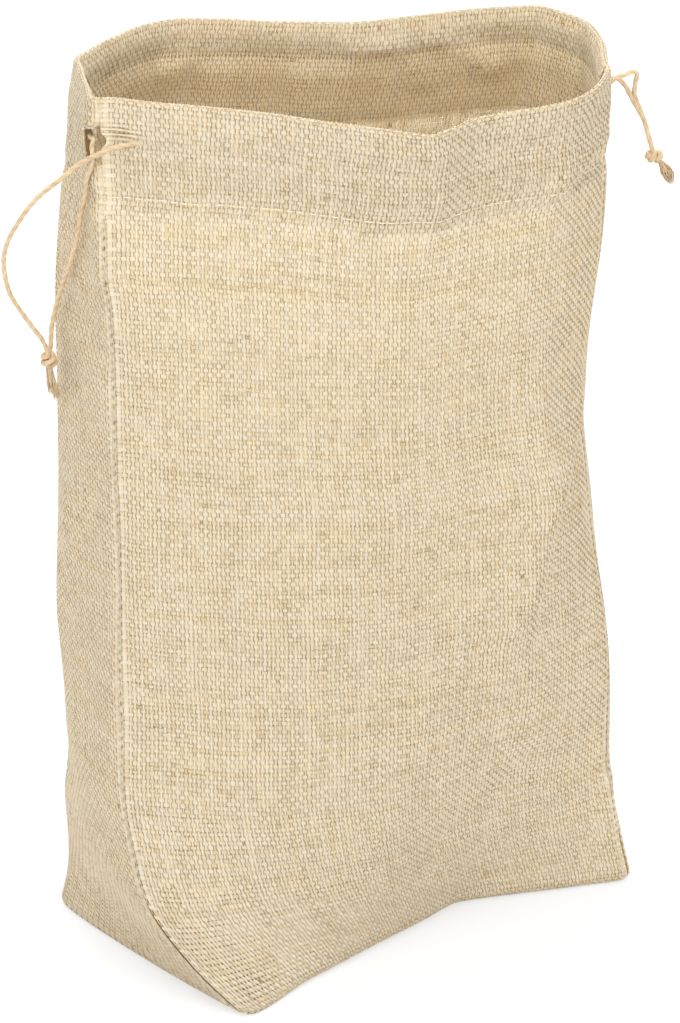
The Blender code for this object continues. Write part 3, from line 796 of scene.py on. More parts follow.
@dataclass
class PanelRows:
    """Where each weft row of a panel lies, from the bottom seam up to the hem's edge."""

    level: Array
    lift: Array
    inset: Array
    base_share: Array
    turn: Array
    depth: Array
    travel: Array

    @classmethod
    def lay(cls, pitch: float, base_rows: int, form: BagForm, sewing: Sewing) -> "PanelRows":
        """Lay out the rows, one thread pitch apart along the cloth.

        Args:
            pitch: distance between weft threads.
            base_rows: number of rows across the flat base.
            form: the bag's form.
            sewing: sizes of seams and hem.

        Returns:
            The rows: the turned-up seam allowance and its roll, the base, the fold
            up into the wall, the wall, the rim's roll and the hem inside it.
        """
        blocks: list[dict[str, Array]] = []

        def block(count: int, **values: Array | float) -> None:
            """Keep a block of rows, with 0 for what isn't given.

            Args:
                count: number of rows.
                values: what the rows have, by name.
            """
            names = ("level", "lift", "inset", "base_share", "turn", "depth", "travel")
            rest = {"travel": -form.height}
            blocks.append({name: np.zeros(count) + values.get(name, rest.get(name, 0.0))
                           for name in names})

        half = QUARTER_TURN
        turned = sewing.allowance * np.array((1.0, 0.67, 0.33))
        block(3, lift=turned, inset=sewing.base_fold, base_share=1.0, turn=half)
        block(2, inset=sewing.base_fold, base_share=1.0, turn=np.array((half, half / 3.0)))
        share = np.linspace(1.0, 0.0, base_rows + 2)[1:-1]
        block(base_rows, inset=sewing.base_fold, base_share=share)
        angle = np.linspace(half, 0.0, 5)
        rise = sewing.base_fold * (1.0 - np.sin(angle))
        block(5, level=rise / form.height, inset=sewing.base_fold * (1.0 - np.cos(angle)))
        top = form.height - sewing.rim_radius
        count = int(round((top - sewing.base_fold) / pitch))
        rise = np.linspace(sewing.base_fold, top, count + 1)[1:]
        block(count, level=rise / form.height, travel=rise - form.height)
        count = int(round(math.pi * sewing.rim_radius / pitch)) + 1
        angle = np.linspace(0.0, math.pi, count + 1)[1:]
        block(count, level=top / form.height, lift=sewing.rim_radius * np.sin(angle),
              depth=sewing.rim_radius * (1.0 - np.cos(angle)),
              travel=sewing.rim_radius * (angle - half))
        count = int(round((sewing.hem_depth - sewing.rim_radius) / pitch))
        drop = np.linspace(sewing.rim_radius, sewing.hem_depth, count + 1)[1:]
        seat = sewing.hem_depth - sewing.stitch_margin
        depth = np.interp(drop, (sewing.rim_radius, *sewing.casing_span, seat),
                          (2.0 * sewing.rim_radius, sewing.casing_room, sewing.casing_room,
                           sewing.hem_snug))
        groove = np.exp(-((drop - sewing.groove_drop) / sewing.groove_width) ** 2)
        depth = depth - sewing.hem_groove * groove
        block(count, level=1.0 - drop / form.height, depth=depth, travel=drop)
        return cls(**{name: np.concatenate([rows[name] for rows in blocks])[:, None]
                      for name in blocks[0]})


@dataclass(frozen=True)
class ThreadSlubs:
    """How the width of a hand-spun thread varies, as shares of it.

    Each thread has a width of its own, which drifts along it, and a lump where a slower
    drift passes the threshold.
    """

    own: float = 0.05
    along: float = 0.07
    along_reach: float = 4.0
    lump: float = 0.22
    lump_reach: float = 12.0
    threshold: float = 1.6
    tallest: float = 1.2
    limits: tuple[float, float] = (0.7, 1.3)

    def draw(self, rng: np.random.Generator, threads: int, steps: int) -> Array:
        """Draw the width of every thread at each crossing.

        Args:
            rng: the seeded source.
            threads: number of threads.
            steps: number of crossings along each.

        Returns:
            Shares of the usual width, by thread and step.
        """
        width = 1.0 + self.own * rng.standard_normal((threads, 1))
        width = width + self.along * drift(rng, threads, steps, self.along_reach)
        over = drift(rng, threads, steps, self.lump_reach) - self.threshold
        width = width + self.lump * np.clip(over, 0.0, self.tallest)
        return np.clip(width, *self.limits)


@dataclass(frozen=True)
class ThreadTones:
    """How tone and warmth vary over a cloth's threads.

    Each thread has its own tone and warmth, which drift along it and differ a little
    from one crossing to the next; a few crossings are flecks of bark. Its edges are
    painted darker, as painted shade in the gaps between threads, in runs that the two
    threads at a gap share.
    """

    edge: float
    least: float
    along: float
    tone: float = 0.10
    own: float = 0.05
    along_reach: float = 4.0
    crossing: float = 0.09
    fleck: float = 0.35
    fleck_share: float = 0.003
    run_reach: float = 2.6
    run_noise: float = 0.6
    run_gain: float = 0.45
    run_rise: float = 0.5
    run_most: float = 1.4
    warm: float = 0.35
    warm_own: float = 0.14
    warm_along: float = 0.16
    warm_reach: float = 6.0
    warm_crossing: float = 0.10
    warm_lines: tuple[float, ...] = (-0.03, -0.01, 0.01, 0.03)

    def draw(self, rng: np.random.Generator, threads: int, steps: int) -> Array:
        """Draw the palette place of every ribbon point.

        Args:
            rng: the seeded source.
            threads: number of threads.
            steps: number of crossings along each.

        Returns:
            Tone and warmth by thread, step and ribbon line.
        """
        tone = self.tone + self.own * rng.standard_normal((threads, 1))
        tone = tone + self.along * drift(rng, threads, steps, self.along_reach)
        tone = tone + self.crossing * rng.standard_normal((threads, steps))
        tone = tone + self.fleck * (rng.random((threads, steps)) < self.fleck_share)
        # Painted shade: each gap between two threads darkens the two edges that face it, in runs
        # along the gap.
        runs = drift(rng, threads + 1, steps, self.run_reach)
        runs = runs + self.run_noise * rng.standard_normal((threads + 1, steps))
        gap = self.edge * np.clip(self.least + self.run_gain * (runs + self.run_rise),
                                  self.least, self.run_most)
        warm = self.warm + self.warm_own * rng.standard_normal((threads, 1))
        warm = warm + self.warm_along * drift(rng, threads, steps, self.warm_reach)
        warm = warm + self.warm_crossing * rng.standard_normal((threads, steps))
        tones = np.stack((tone + gap[:-1], tone, tone, tone + gap[1:]), axis=2)
        return np.stack((tones, warm[..., None] + np.array(self.warm_lines)), axis=3)


SLUBS = ThreadSlubs()
# The warp's edges carry more painted gap shade than the weft's.
TONES = {Way.WARP: ThreadTones(edge=1.90, least=0.40, along=0.08),
         Way.WEFT: ThreadTones(edge=0.42, least=0.15, along=0.04)}


@dataclass
class HessianPanel:
    """A cut piece of hessian, woven thread by thread, from one seam to the next."""

    name: str
    form: BagForm
    sewing: Sewing
    start: float
    end: float
    start_lip: SlitLip
    end_lip: SlitLip
    base_rows: int
    seed: int
    warp_cover: float
    weft_cover: tuple[float, float]
    cover_change: tuple[float, float] = (0.70, 0.80)
    warp_pitch: float = 0.00295
    weft_pitch: float = 0.00315
    swing: float = 0.00046
    crown: float = 0.00030
    flat_share: float = 0.32
    widest: float = 1.25
    edge_threads: int = 3
    plain_threads: int = 2
    gather: float = 0.060
    stretched: tuple[float, float] = (0.0, 0.0)
    pull: float = 0.42
    pull_size: tuple[float, float] = (0.013, 0.0048)
    pull_under: float = 2.5
    # Painted shade on the edges of weft threads that a cord pulls apart, where the opened gaps fall
    # dark.
    pull_painted_shade: float = 1.8
    hem_open: float = 0.0
    # Painted light for the back panel's inner hem: tone and warmth added to the crowns and edges of
    # its threads, paler crowns and warmer threads in place of light that shines through the cloth
    # from behind.
    hem_crown_painted_backlight: tuple[float, float] = (-0.12, 0.25)
    hem_edge_painted_backlight: tuple[float, float] = (0.05, 0.40)
    hem_change: tuple[float, float] = (0.0235, 0.0290)
    wander: float = 0.00015
    wander_reach: float = 3.5
    wander_most: float = 0.2
    marks_round: int = 420
    middle_share: tuple[float, float] = (0.3, 0.7)

    def __post_init__(self) -> None:
        """Count the threads and lay the rows."""
        self.rng = np.random.default_rng(self.seed)
        self.side = -1.0 if self.start == self.form.left_seam else 1.0
        self.rows = PanelRows.lay(self.weft_pitch, self.base_rows, self.form, self.sewing)
        self.marks = np.linspace(self.start, self.end, self.marks_round)
        level = self.rows.level[:, 0]
        outline = self.form.plan(level, np.tile(self.marks, (len(level), 1)))
        steps = np.linalg.norm(np.diff(outline, axis=1), axis=2)
        self.arcs = np.concatenate((np.zeros((len(steps), 1)), np.cumsum(steps, axis=1)), axis=1)
        lost = (QUARTER_TURN - 1.0) * self.sewing.seam_roll
        self.width = self.arcs[:, -1:] + 2.0 * lost
        self.inner = int(round(float(self.width.mean()) / self.warp_pitch))
        self.columns = self.inner + 2 * self.edge_threads

    def position(self, places: Array, share: Array) -> Array:
        """Outer face of the cloth, before its seam edges are turned in.

        The wall's plan at the row's level, drawn towards the bottom seam by the base
        share and in from the face by the depth; the height is the level's share of
        the rim's height, plus the row's own lift.

        Args:
            places: places round the bag by row and column.
            share: how far across the panel they are, from 0 to 1.

        Returns:
            Points by row and column.
        """
        rows, form = self.rows, self.form
        plan = form.plan(rows.level[:, 0], places)
        outline = form.plan(np.zeros(len(places)), places)
        seam, across = form.seam_line(share if self.side < 0.0 else 1.0 - share)
        way = unit(seam - outline)
        plan = plan + way * rows.inset[..., None]
        roll = self.sewing.seam_roll
        aside = roll + 0.5 * self.sewing.seam_gap - roll * np.sin(rows.turn)
        edge = seam + self.side * across * aside[..., None]
        plan = plan + (edge - plan) * rows.base_share[..., None]
        plan = plan + form.inward(rows.level[:, 0], places) * rows.depth[..., None]
        height = rows.level * form.rim(places) + rows.lift + roll * (1.0 - np.cos(rows.turn))
        return np.concatenate((plan, height[..., None]), axis=2)

    def edge(self, away: Array, gap: Array) -> tuple[Array, Array]:
        """Offset from a side seam, and depth, of threads near it.

        Within a quarter turn of the seam the cloth rolls in, and past it the seam
        allowance goes straight in. Rows near the ground only butt together. Near the seam
        the cloth laps over its line, by a share that falls with the square of the distance.

        Args:
            away: distance of each thread along the cloth from the seam's inner fold.
            gap: how far the edge stands back from the seam at each row.

        Returns:
            The offsets and depths, by row and thread.
        """
        sewing, rows = self.sewing, self.rows
        roll = sewing.seam_roll
        angle = QUARTER_TURN - np.clip(away / roll, 0.0, QUARTER_TURN)
        past = np.clip(away - QUARTER_TURN * roll, 0.0, None)
        offset = 0.5 * sewing.seam_gap + roll * (1.0 - np.sin(angle)) + past
        depth = roll * (1.0 - np.cos(angle)) + np.clip(-away, 0.0, None)
        sewn = smoothstep(rows.level, sewing.low_level, sewing.sewn_level)
        rolled = (sewn * (1.0 - smoothstep(rows.travel, -0.5 * sewing.rim_radius, sewing.rim_radius)))
        flat = sewing.seam_butt + np.clip(away, 0.0, None)
        offset = rolled * offset + (1.0 - rolled) * flat
        fade = np.clip(1.0 - away / self.gather, 0.0, 1.0)
        lap = (np.maximum(sewing.seam_lap * sewn, smoothstep(rows.travel, *sewing.lap_rows))
               * (1.0 - smoothstep(rows.travel, sewing.rim_radius, 2.0 * sewing.rim_radius)))
        near = np.clip(1.0 - away / sewing.lap_reach, 0.0, 1.0)
        return offset + gap * fade * fade - sewing.rim_lap * lap * near * near, rolled * depth

    def crossings(self) -> tuple[Array, Array]:
        """Place of every thread crossing, and the cloth's normal there.

        The warp threads share out each row's own length, so that they are evenly apart
        wherever the bag is wider or narrower.

        Returns:
            Points and unit normals, by weft row and warp column.
        """
        cloth = (np.arange(self.columns) - self.edge_threads + 0.5) / self.inner * self.width
        travel = self.rows.travel
        first, first_depth = self.edge(cloth, self.start_lip.gap(travel, self.sewing))
        last, last_depth = self.edge(self.width - cloth, self.end_lip.gap(travel, self.sewing))
        length = self.arcs[:, -1:]
        weight = smoothstep(cloth / self.width, *self.middle_share)
        along = first * (1.0 - weight) + (length - last) * weight
        places = np.stack([np.interp(row, arcs, self.marks)
                           for row, arcs in zip(along, self.arcs)])
        points = self.position(places, along / length)
        level = self.rows.level[:, 0]
        for seam, depth in ((self.start, first_depth), (self.end, last_depth)):
            inward = self.form.inward(level, np.full((len(level), 1), seam))
            points[..., :2] += inward * depth[..., None]
        normal = unit(np.cross(np.gradient(points, axis=1), np.gradient(points, axis=0)))
        return points - normal * 0.5 * self.sewing.cloth, normal

    def kept(self) -> Array:
        """Find the crossings that have cloth: the side allowance ends short of the hem.

        Returns:
            A mask by row and column.
        """
        rows, sewing = self.rows, self.sewing
        sewn = (rows.level > sewing.sewn_level) & (
            rows.travel < -sewing.hem_depth - sewing.hem_side_gap)
        keep = np.ones((len(rows.level), self.columns), bool)
        keep[:, :self.edge_threads] = sewn
        keep[:, -self.edge_threads:] = sewn
        return keep

    def ribbons(self, way: Way) -> tuple[Array, Array, Array]:
        """Points, faces and palette of all the threads that run one way.

        A thread's flat middle swings out where it passes over and in where it passes
        under, and its edges swing less, so that it is crowned on the side that shows. Its
        edges carry painted shade for the gaps, more where a cord pulls the weft apart, and
        the back panel's inner hem has painted light. The warp threads at a side seam are
        plain, without the painted shade at their edges.

        Args:
            way: warp, up the bag, or weft, round it.

        Returns:
            Points by thread, step and ribbon line; faces; and each point's palette place.
        """
        points, normal = self.crossings()
        rows, columns = points.shape[:2]
        sign = np.where((np.arange(rows)[:, None] + np.arange(columns)) % 2 == 0, 1.0, -1.0)
        keep = self.kept()
        inside = smoothstep(self.rows.travel, *self.hem_change) + np.zeros((rows, columns))
        share = np.linspace(0.0, 1.0, columns)
        pulled = self.pulled_apart(share * self.width)
        under = np.clip(self.pull_under * pulled, 0.0, 1.0)
        sign = sign * (1.0 - under) - under
        if way is Way.WARP:
            points, normal = points.swapaxes(0, 1), normal.swapaxes(0, 1)
            sign, keep, inside, cover = sign.T, keep.T, inside.T, self.warp_cover
            pulled = np.zeros(sign.shape)
        else:
            sign = -sign
            cover = np.interp(share, self.cover_change, self.weft_cover) * (1.0 - pulled)
        threads, steps = sign.shape
        cover = cover * (1.0 - self.hem_open * inside)
        across = np.gradient(points, axis=0)
        pitch = np.linalg.norm(across, axis=2)
        across = unit(across)
        slub = SLUBS.draw(self.rng, threads, steps)
        half = 0.5 * cover * np.minimum(pitch, self.widest * self.weft_pitch) * slub
        stray = self.wander * drift(self.rng, threads, steps, self.wander_reach)
        stray = np.clip(stray, -self.wander_most * pitch, self.wander_most * pitch)
        centre = points + across * stray[..., None]
        high = centre + normal * (sign * (self.swing + self.crown))[..., None]
        low = centre + normal * (sign * (self.swing - self.crown))[..., None]
        wide, flat = across * half[..., None], across * (self.flat_share * half)[..., None]
        lines = np.stack((low - wide, high - flat, high + flat, low + wide), axis=2)
        corner = np.arange(lines[..., 0].size).reshape(lines.shape[:3])
        quads = np.stack((corner[:, :-1, :-1], corner[:, 1:, :-1], corner[:, 1:, 1:],
                          corner[:, :-1, 1:]), axis=3)
        if way is Way.WEFT:
            quads = quads[..., ::-1]
        quads = quads[keep[:, :-1] & keep[:, 1:]].reshape(-1, 4)
        palette = TONES[way].draw(self.rng, threads, steps)
        # Painted light: on the inner hem rows the crowns are painted paler and the threads warmer,
        # standing in for light through the cloth from behind.
        if self.hem_open:
            hem_painted_backlight = np.array((self.hem_edge_painted_backlight, self.hem_crown_painted_backlight, self.hem_crown_painted_backlight, self.hem_edge_painted_backlight))
            palette = palette + inside[..., None, None] * hem_painted_backlight
        # Painted shade: the edges of pulled-apart weft threads are darkened for the opened gaps.
        palette[..., (0, 3), 0] += self.pull_painted_shade * pulled[..., None]
        # The warp threads next to a side seam lose the painted gap shade at their edges.
        if way is Way.WARP:
            plain = self.edge_threads + self.plain_threads
            ends = np.r_[:plain, threads - plain:threads]
            palette[ends, :, 0] = palette[ends, :, 1]
            palette[ends, :, 3] = palette[ends, :, 2]
        return lines, quads, palette

    def pulled_apart(self, along: Array) -> Array:
        """Share by which the weft threads part where a cord pulls on the cloth.

        A bell shape round the stretched spot, which is the pull at its middle.

        Args:
            along: distance of each crossing from the panel's start, by row and column.

        Returns:
            The share, by row and column.
        """
        place, drop = self.stretched
        if not place:
            return np.zeros_like(along)
        wide, tall = self.pull_size
        off = ((along - place) / wide) ** 2 + ((-self.rows.travel - drop) / tall) ** 2
        return self.pull * np.exp(-off)

    def build(self, finish: bpy.types.Material) -> list[bpy.types.Object]:
        """Weave the panel.

        Args:
            finish: the hessian.

        Returns:
            The objects: the weft, then the warp, in halves where the panel is large.
        """
        made = []
        for way in (Way.WEFT, Way.WARP):
            lines, quads, palette = self.ribbons(way)
            owner = quads[:, 0] // (lines.shape[1] * lines.shape[2])
            halves = 2 if len(quads) > MOST_QUADS else 1
            for part in range(halves):
                mine = owner * halves // lines.shape[0] == part
                sheet = Surface()
                sheet.add(lines, quads[mine], palette)
                label = f"{self.name}_{way.value}" + (f"_{part + 1}" if halves > 1 else "")
                made.append(sheet.build(label, finish))
        return made

    def cut(self, part: int, parts: int) -> tuple[float, float, float]:
        """Flat size of the cloth, or of one of the parts that its rows are shared into.

        Args:
            part: number of the part, from the bottom.
            parts: number of parts.

        Returns:
            Width, length and area of its one side.
        """
        points, _ = self.crossings()
        side, up = np.diff(points, axis=1)[:-1], np.diff(points, axis=0)[:, :-1]
        keep = self.kept()
        keep = keep[:-1, :-1] & keep[1:, 1:]
        area = np.linalg.norm(np.cross(side, up), axis=2) * keep
        mine = np.arange(len(area)) * parts // len(area) == part
        width, length = self.columns * self.warp_pitch, mine.sum() * self.weft_pitch
        return width, length, min(float(area[mine].sum()), width * length)


# Cords, knots and stitches


@dataclass
class TwistedCord:
    """A two-ply jute cord along a path.

    The section is a circle whose radius swells by the groove share twice round it, for
    the two plies, and by the ridge share several times, for their fibres. The plies wind
    along the cord once in each lay, and the fibres a little faster.
    """

    path: Array
    diameter: float = 0.0034
    lay: float = 0.0150
    sides: int = 22
    groove: float = 0.085
    ridges: int = 7
    ridge: float = 0.020
    fibre_lead: float = 1.35
    lump: float = 0.035
    lump_reach: float = 9.0
    tone: float = 0.36
    warm: float = 0.35
    seed: int = 0

    def add_to(self, surface: Surface) -> None:
        """Add the cord to a surface.

        Its tone drifts along it and from side to side, and is painted paler on the crowns
        of the plies and fibres and darker in the grooves between them, as painted shade.

        Args:
            surface: where the cord goes.
        """
        rng = np.random.default_rng(self.seed)
        _, first, second = path_frame(self.path)
        along = path_lengths(self.path)
        turn = FULL_TURN * along[:, None] / self.lay
        angles = turn_angles(self.sides)
        plies = np.cos(2.0 * (angles - turn))
        fibres = np.sin(self.ridges * (angles - self.fibre_lead * turn))
        lump = 1.0 + self.lump * drift(rng, 1, len(along), self.lump_reach).T
        radius = 0.5 * self.diameter * lump / (1.0 + self.groove) * (
            1.0 + self.groove * plies + self.ridge * fibres)
        points = self.path[:, None] + radius[..., None] * rings(first, second, angles)
        ends = np.repeat(points[[0, -1]].mean(axis=1, keepdims=True), self.sides, 1)
        points = np.concatenate((ends[:1], points, ends[1:]))
        tone = (self.tone + 0.05 * drift(rng, 1, len(points), 12.0).T
                + 0.09 * drift(rng, self.sides, len(points), 10.0).T)
        # Painted shade: darker in the grooves between plies and fibres, paler on their crowns.
        tone[1:-1] -= 0.11 * plies + 0.05 * fibres
        warm = self.warm + 0.18 * drift(rng, self.sides, len(points), 14.0).T
        surface.add(points, grid_quads(len(points), self.sides, True),
                    np.stack((tone, warm), axis=2))


@dataclass
class FibreTuft:
    """A frayed cord end: fine fibres that part from each other along a path."""

    path: Array
    spread: tuple[float, ...]
    diameter: float = 0.0034
    fibres: int = 46
    fibre: float = 0.00045
    sides: int = 4
    twist: float = 1.8
    stray: float = 0.00025
    shortest: float = 0.72
    tapered: tuple[float, float] = (0.7, 1.0)
    taper: float = 0.75
    tone: float = 0.38
    warm: float = 0.45
    seed: int = 0

    def add_to(self, surface: Surface) -> None:
        """Add the fibres to a surface.

        A fibre keeps its own place in the cord's section, scaled by the spread, with a
        slow twist and a wave of its own, and each one ends at its own length.

        Args:
            surface: where the fibres go.
        """
        rng = np.random.default_rng(self.seed)
        _, first, second = path_frame(self.path)
        steps = len(self.path)
        share = np.linspace(0.0, 1.0, steps)
        grow = np.interp(share, np.linspace(0.0, 1.0, len(self.spread)), self.spread)
        reach = np.sqrt(rng.random((self.fibres, 1))) * 0.5 * (self.diameter - self.fibre)
        start = rng.random((self.fibres, 1)) * 2.0 * math.pi
        angle = start + self.twist * share + 0.35 * drift(rng, self.fibres, steps, 6.0)
        away = reach * grow + self.stray * drift(rng, self.fibres, steps, 5.0) * share
        long = self.shortest + (1.0 - self.shortest) * rng.random((self.fibres, 1))
        base = points_along(share * long * (steps - 1), np.arange(steps), self.path)
        line = (base + (away * np.cos(angle))[..., None] * first
                + (away * np.sin(angle))[..., None] * second)
        thick = 0.5 * self.fibre * (1.0 - self.taper * smoothstep(share, *self.tapered))
        ring = rings(first, second, turn_angles(self.sides)) * thick[:, None, None]
        points = line[:, :, None] + ring[None]
        quads = grid_quads(steps, self.sides, True).reshape(-1, 4)
        quads = quads[None] + np.arange(self.fibres)[:, None, None] * steps * self.sides
        tone = self.tone + 0.13 * rng.standard_normal((self.fibres, 1, 1))
        tone = tone + 0.08 * drift(rng, self.fibres, steps, 4.0)[..., None]
        tone = tone + np.linspace(-0.02, 0.02, self.sides)
        warm = self.warm + 0.25 * rng.standard_normal((self.fibres, 1, 1)) + 0.05 * tone
        surface.add(points, quads, np.stack((tone, warm), axis=3))


@dataclass
class OverhandKnot:
    """A tight overhand knot, whose strand wraps round it and shuts its ends."""

    place: Array
    size: tuple[float, float, float]
    strand: float
    axis: Point
    turns: float
    seed: int
    bulge: float = 0.7
    spacing: float = 0.0005
    tone: float = 0.46

    def path(self, points: int = 260) -> Array:
        """Middle line of the knot.

        A helix on an egg shape: as the share s goes from 0 to 1, the line goes round the
        axis by the turns, moves along it as -cos(pi s), and stands off it as sin(pi s)
        to the power of the bulge, all fitted into the knot's size less the strand.

        Args:
            points: number of points.

        Returns:
            The points, from one end of the knot to the other.
        """
        share = np.linspace(0.02, 0.98, points)
        angle = FULL_TURN * self.turns * share
        off = np.sin(math.pi * share) ** self.bulge
        axis = unit(np.array(self.axis))
        first = unit(np.cross(axis, (0.0, 1.0, 0.2)))
        second = np.cross(axis, first)
        line = (-np.cos(math.pi * share)[:, None] * axis
                + (off * np.cos(angle))[:, None] * first + (off * np.sin(angle))[:, None] * second)
        line = line - 0.5 * (line.max(axis=0) + line.min(axis=0))
        room = np.array(self.size) - self.strand
        return self.place + line * room / np.ptp(line, axis=0)

    def add_to(self, surface: Surface) -> None:
        """Add the knot's strand to a surface."""
        TwistedCord(smooth_route(self.path(), self.spacing), self.strand, tone=self.tone,
                    seed=self.seed).add_to(surface)


@dataclass
class StitchLine:
    """A row of sewing stitches along a line on the cloth."""

    name: str
    line: Array
    out: Array
    thread: float
    stitch: float = 0.0062
    space: float = 0.0016
    sides: int = 6
    steps: int = 7
    jitter: float = 0.06
    sink: float = 0.8
    end_share: float = 0.55
    tone: float = 0.40
    warm: float = 0.3
    seed: int = 0

    def build(self, finish: bpy.types.Material) -> bpy.types.Object:
        """Make the stitches.

        Each stitch is a round thread that comes up out of the cloth, lies along it and
        goes down again: its middle line rises as the square root of a sine.

        Args:
            finish: the thread.

        Returns:
            The object.
        """
        rng = np.random.default_rng(self.seed)
        along = path_lengths(self.line)
        pitch = self.stitch + self.space
        count = int(along[-1] / pitch)
        share = np.linspace(0.0, 1.0, self.steps)
        starts = (np.arange(count)[:, None]
                  + self.jitter * rng.standard_normal((count, 1))) * pitch
        where = np.clip(starts + share * self.stitch, 0.0, along[-1])
        spot = points_along(where, along, self.line)
        out = unit(points_along(where, along, self.out))
        side = np.cross(unit(np.gradient(spot, axis=1)), out)
        bow = np.sin(math.pi * share)
        centre = spot + out * (self.thread * (np.sqrt(bow) - self.sink))[None, :, None]
        thick = 0.5 * self.thread * (self.end_share + (1.0 - self.end_share) * bow)
        points = centre[:, :, None] + thick[None, :, None, None] * rings(
            side, out, turn_angles(self.sides))
        quads = grid_quads(self.steps, self.sides, True).reshape(-1, 4)
        quads = quads[None] + np.arange(count)[:, None, None] * self.steps * self.sides
        even = np.zeros((1, self.steps, 1))
        tone = self.tone + 0.12 * rng.standard_normal((count, 1, 1)) + even
        tone = (tone + np.linspace(-0.05, 0.05, self.steps)[:, None]
                + np.linspace(0, 0.06, self.sides))
        warm = self.warm + 0.15 * rng.standard_normal((count, 1, 1))
        warm = warm + np.linspace(0, 0.1, self.sides) + even
        surface = Surface()
        surface.add(points, quads, np.stack((tone, warm), axis=3))
        return surface.build(self.name, finish)


@dataclass
class Sack:
    """The sewn bag: its two woven panels and their stitching."""

    form: BagForm = field(default_factory=BagForm)
    sewing: Sewing = field(default_factory=Sewing)

    def __post_init__(self) -> None:
        """Set out the slits and the panels."""
        form, sewing = self.form, self.sewing
        self.left = Slit(
            seam=form.left_seam, drop=0.034,
            front=SlitLip(reach=0.004, top=(0.0235, 0.0270), bottom=(0.0310, 0.0350)),
            back=SlitLip(reach=0.017, top=(0.019, 0.0245), bottom=(0.038, 0.047)),
            cord_front=0.0323, cord_back=0.010)
        lip = SlitLip(reach=0.004, top=(0.003, 0.010), bottom=(0.018, 0.026))
        self.right = Slit(seam=form.right_seam, drop=0.014, front=lip, back=lip,
                          cord_front=0.009, cord_back=0.009)
        self.front = HessianPanel("front_panel", form, sewing, form.left_seam, form.right_seam,
                                  self.left.front, self.right.front, base_rows=15, seed=11,
                                  warp_cover=0.84, weft_cover=(0.92, 0.92),
                                  stretched=(0.018, 0.0235))
        self.back = HessianPanel("back_panel", form, sewing, form.right_seam,
                                 form.left_seam + form.round, self.right.back, self.left.back,
                                 base_rows=40, seed=23, warp_cover=0.84, weft_cover=(0.90, 0.92),
                                 hem_open=0.02)

    def weave(self, finish: bpy.types.Material) -> None:
        """Args:
            finish: the hessian.
        """
        for panel in (self.front, self.back):
            pieces = panel.build(finish)
            for piece in pieces:
                set_on(piece, panel.name, Slot.HESSIAN, Body.BAG)
            wefts = [piece for piece in pieces if Way.WEFT.value in piece.name]
            warps = [piece for piece in pieces if Way.WARP.value in piece.name]
            for part, piece in enumerate(wefts):
                width, length, area = panel.cut(part, len(wefts))
                LOG.info("%s: %.3f by %.3f m cut, %.3f square metres", piece.name,
                         width, length, area)

    def stitch(self, finish: bpy.types.Material) -> None:
        """Sew the side seams, the bottom seam and the hem.

        Args:
            finish: the thread.
        """
        form, sewing = self.form, self.sewing
        lines = []
        levels = np.linspace(sewing.sewn_level, 1.0 - (self.left.drop + 0.5 * sewing.slit_height)
                             / form.height, 200)
        for name, seam in (("left_side_stitching", form.left_seam),
                           ("right_side_stitching", form.right_seam)):
            places = np.full((len(levels), 1), seam)
            inward = form.inward(levels, places)[:, 0]
            plan = form.plan(levels, places)[:, 0] + inward * 2.0 * sewing.thread_sunk
            height = levels * form.rim(places)[:, 0]
            out = np.column_stack((-inward, np.zeros(len(levels))))
            lines.append((name, np.column_stack((plan, height)), out))
        share = np.linspace(*sewing.bottom_span, 160)
        plan, _ = form.seam_line(share)
        line = np.column_stack((plan, np.full(len(share), sewing.thread_sunk)))
        lines.append(("bottom_stitching", line, np.tile((0.0, 0.0, -1.0), (len(share), 1))))
        drop = sewing.hem_depth - sewing.stitch_margin
        for panel in (self.front, self.back):
            places = np.linspace(panel.start + sewing.hem_end, panel.end - sewing.hem_end, 260)
            line = form.under_rim(places, drop, 0.0)
            out = unit(line - form.under_rim(places, drop, 0.01))
            shown = (smoothstep(places, *sewing.shown_from)
                     * (1.0 - smoothstep(places, *sewing.shown_to)))
            rise = sewing.thread * (sewing.shown_rise * shown - sewing.hidden_sink)
            line = line + out * rise[:, None]
            lines.append((panel.name.replace("panel", "hem_stitching"), line, out))
        for seed, (name, line, out) in enumerate(lines):
            stitches = StitchLine(name + "_thread", line, out, sewing.thread, seed=40 + seed)
            set_on(stitches.build(finish), name, Slot.THREAD, Body.BAG)


@dataclass(frozen=True)
class CordEnd:
    """A free end of a drawcord, from its run's start or end, out of the slit, to the knot.

    It lies first on points of the cloth, as (place from the seam, drop below the rim,
    distance outward), and then goes by points from the slit's mouth.
    """

    node: str
    at_start: bool
    lie: tuple[Point, ...]
    route: tuple[Point, ...]


@dataclass(frozen=True)
class CordTail:
    """A frayed tail below a knot, by points from the slit's mouth."""

    node: str
    route: tuple[Point, ...]
    spread: tuple[float, ...]
    spacing: float
    fibres: int
    tone: float
    seed: int


@dataclass(frozen=True)
class CordPlan:
    """One drawcord: its run in the casing, its free ends, its knot and its tails.

    The drop is that of its run below the rim, at the left seam and at the right one.
    """

    body: Body
    run_node: str
    run_seed: int
    drop: tuple[float, float]
    front_first: bool
    ends: tuple[CordEnd, ...]
    knot_node: str
    knot: Point
    knot_size: tuple[float, float, float]
    knot_axis: Point
    knot_turns: float
    knot_seed: int
    tails: tuple[CordTail, ...]


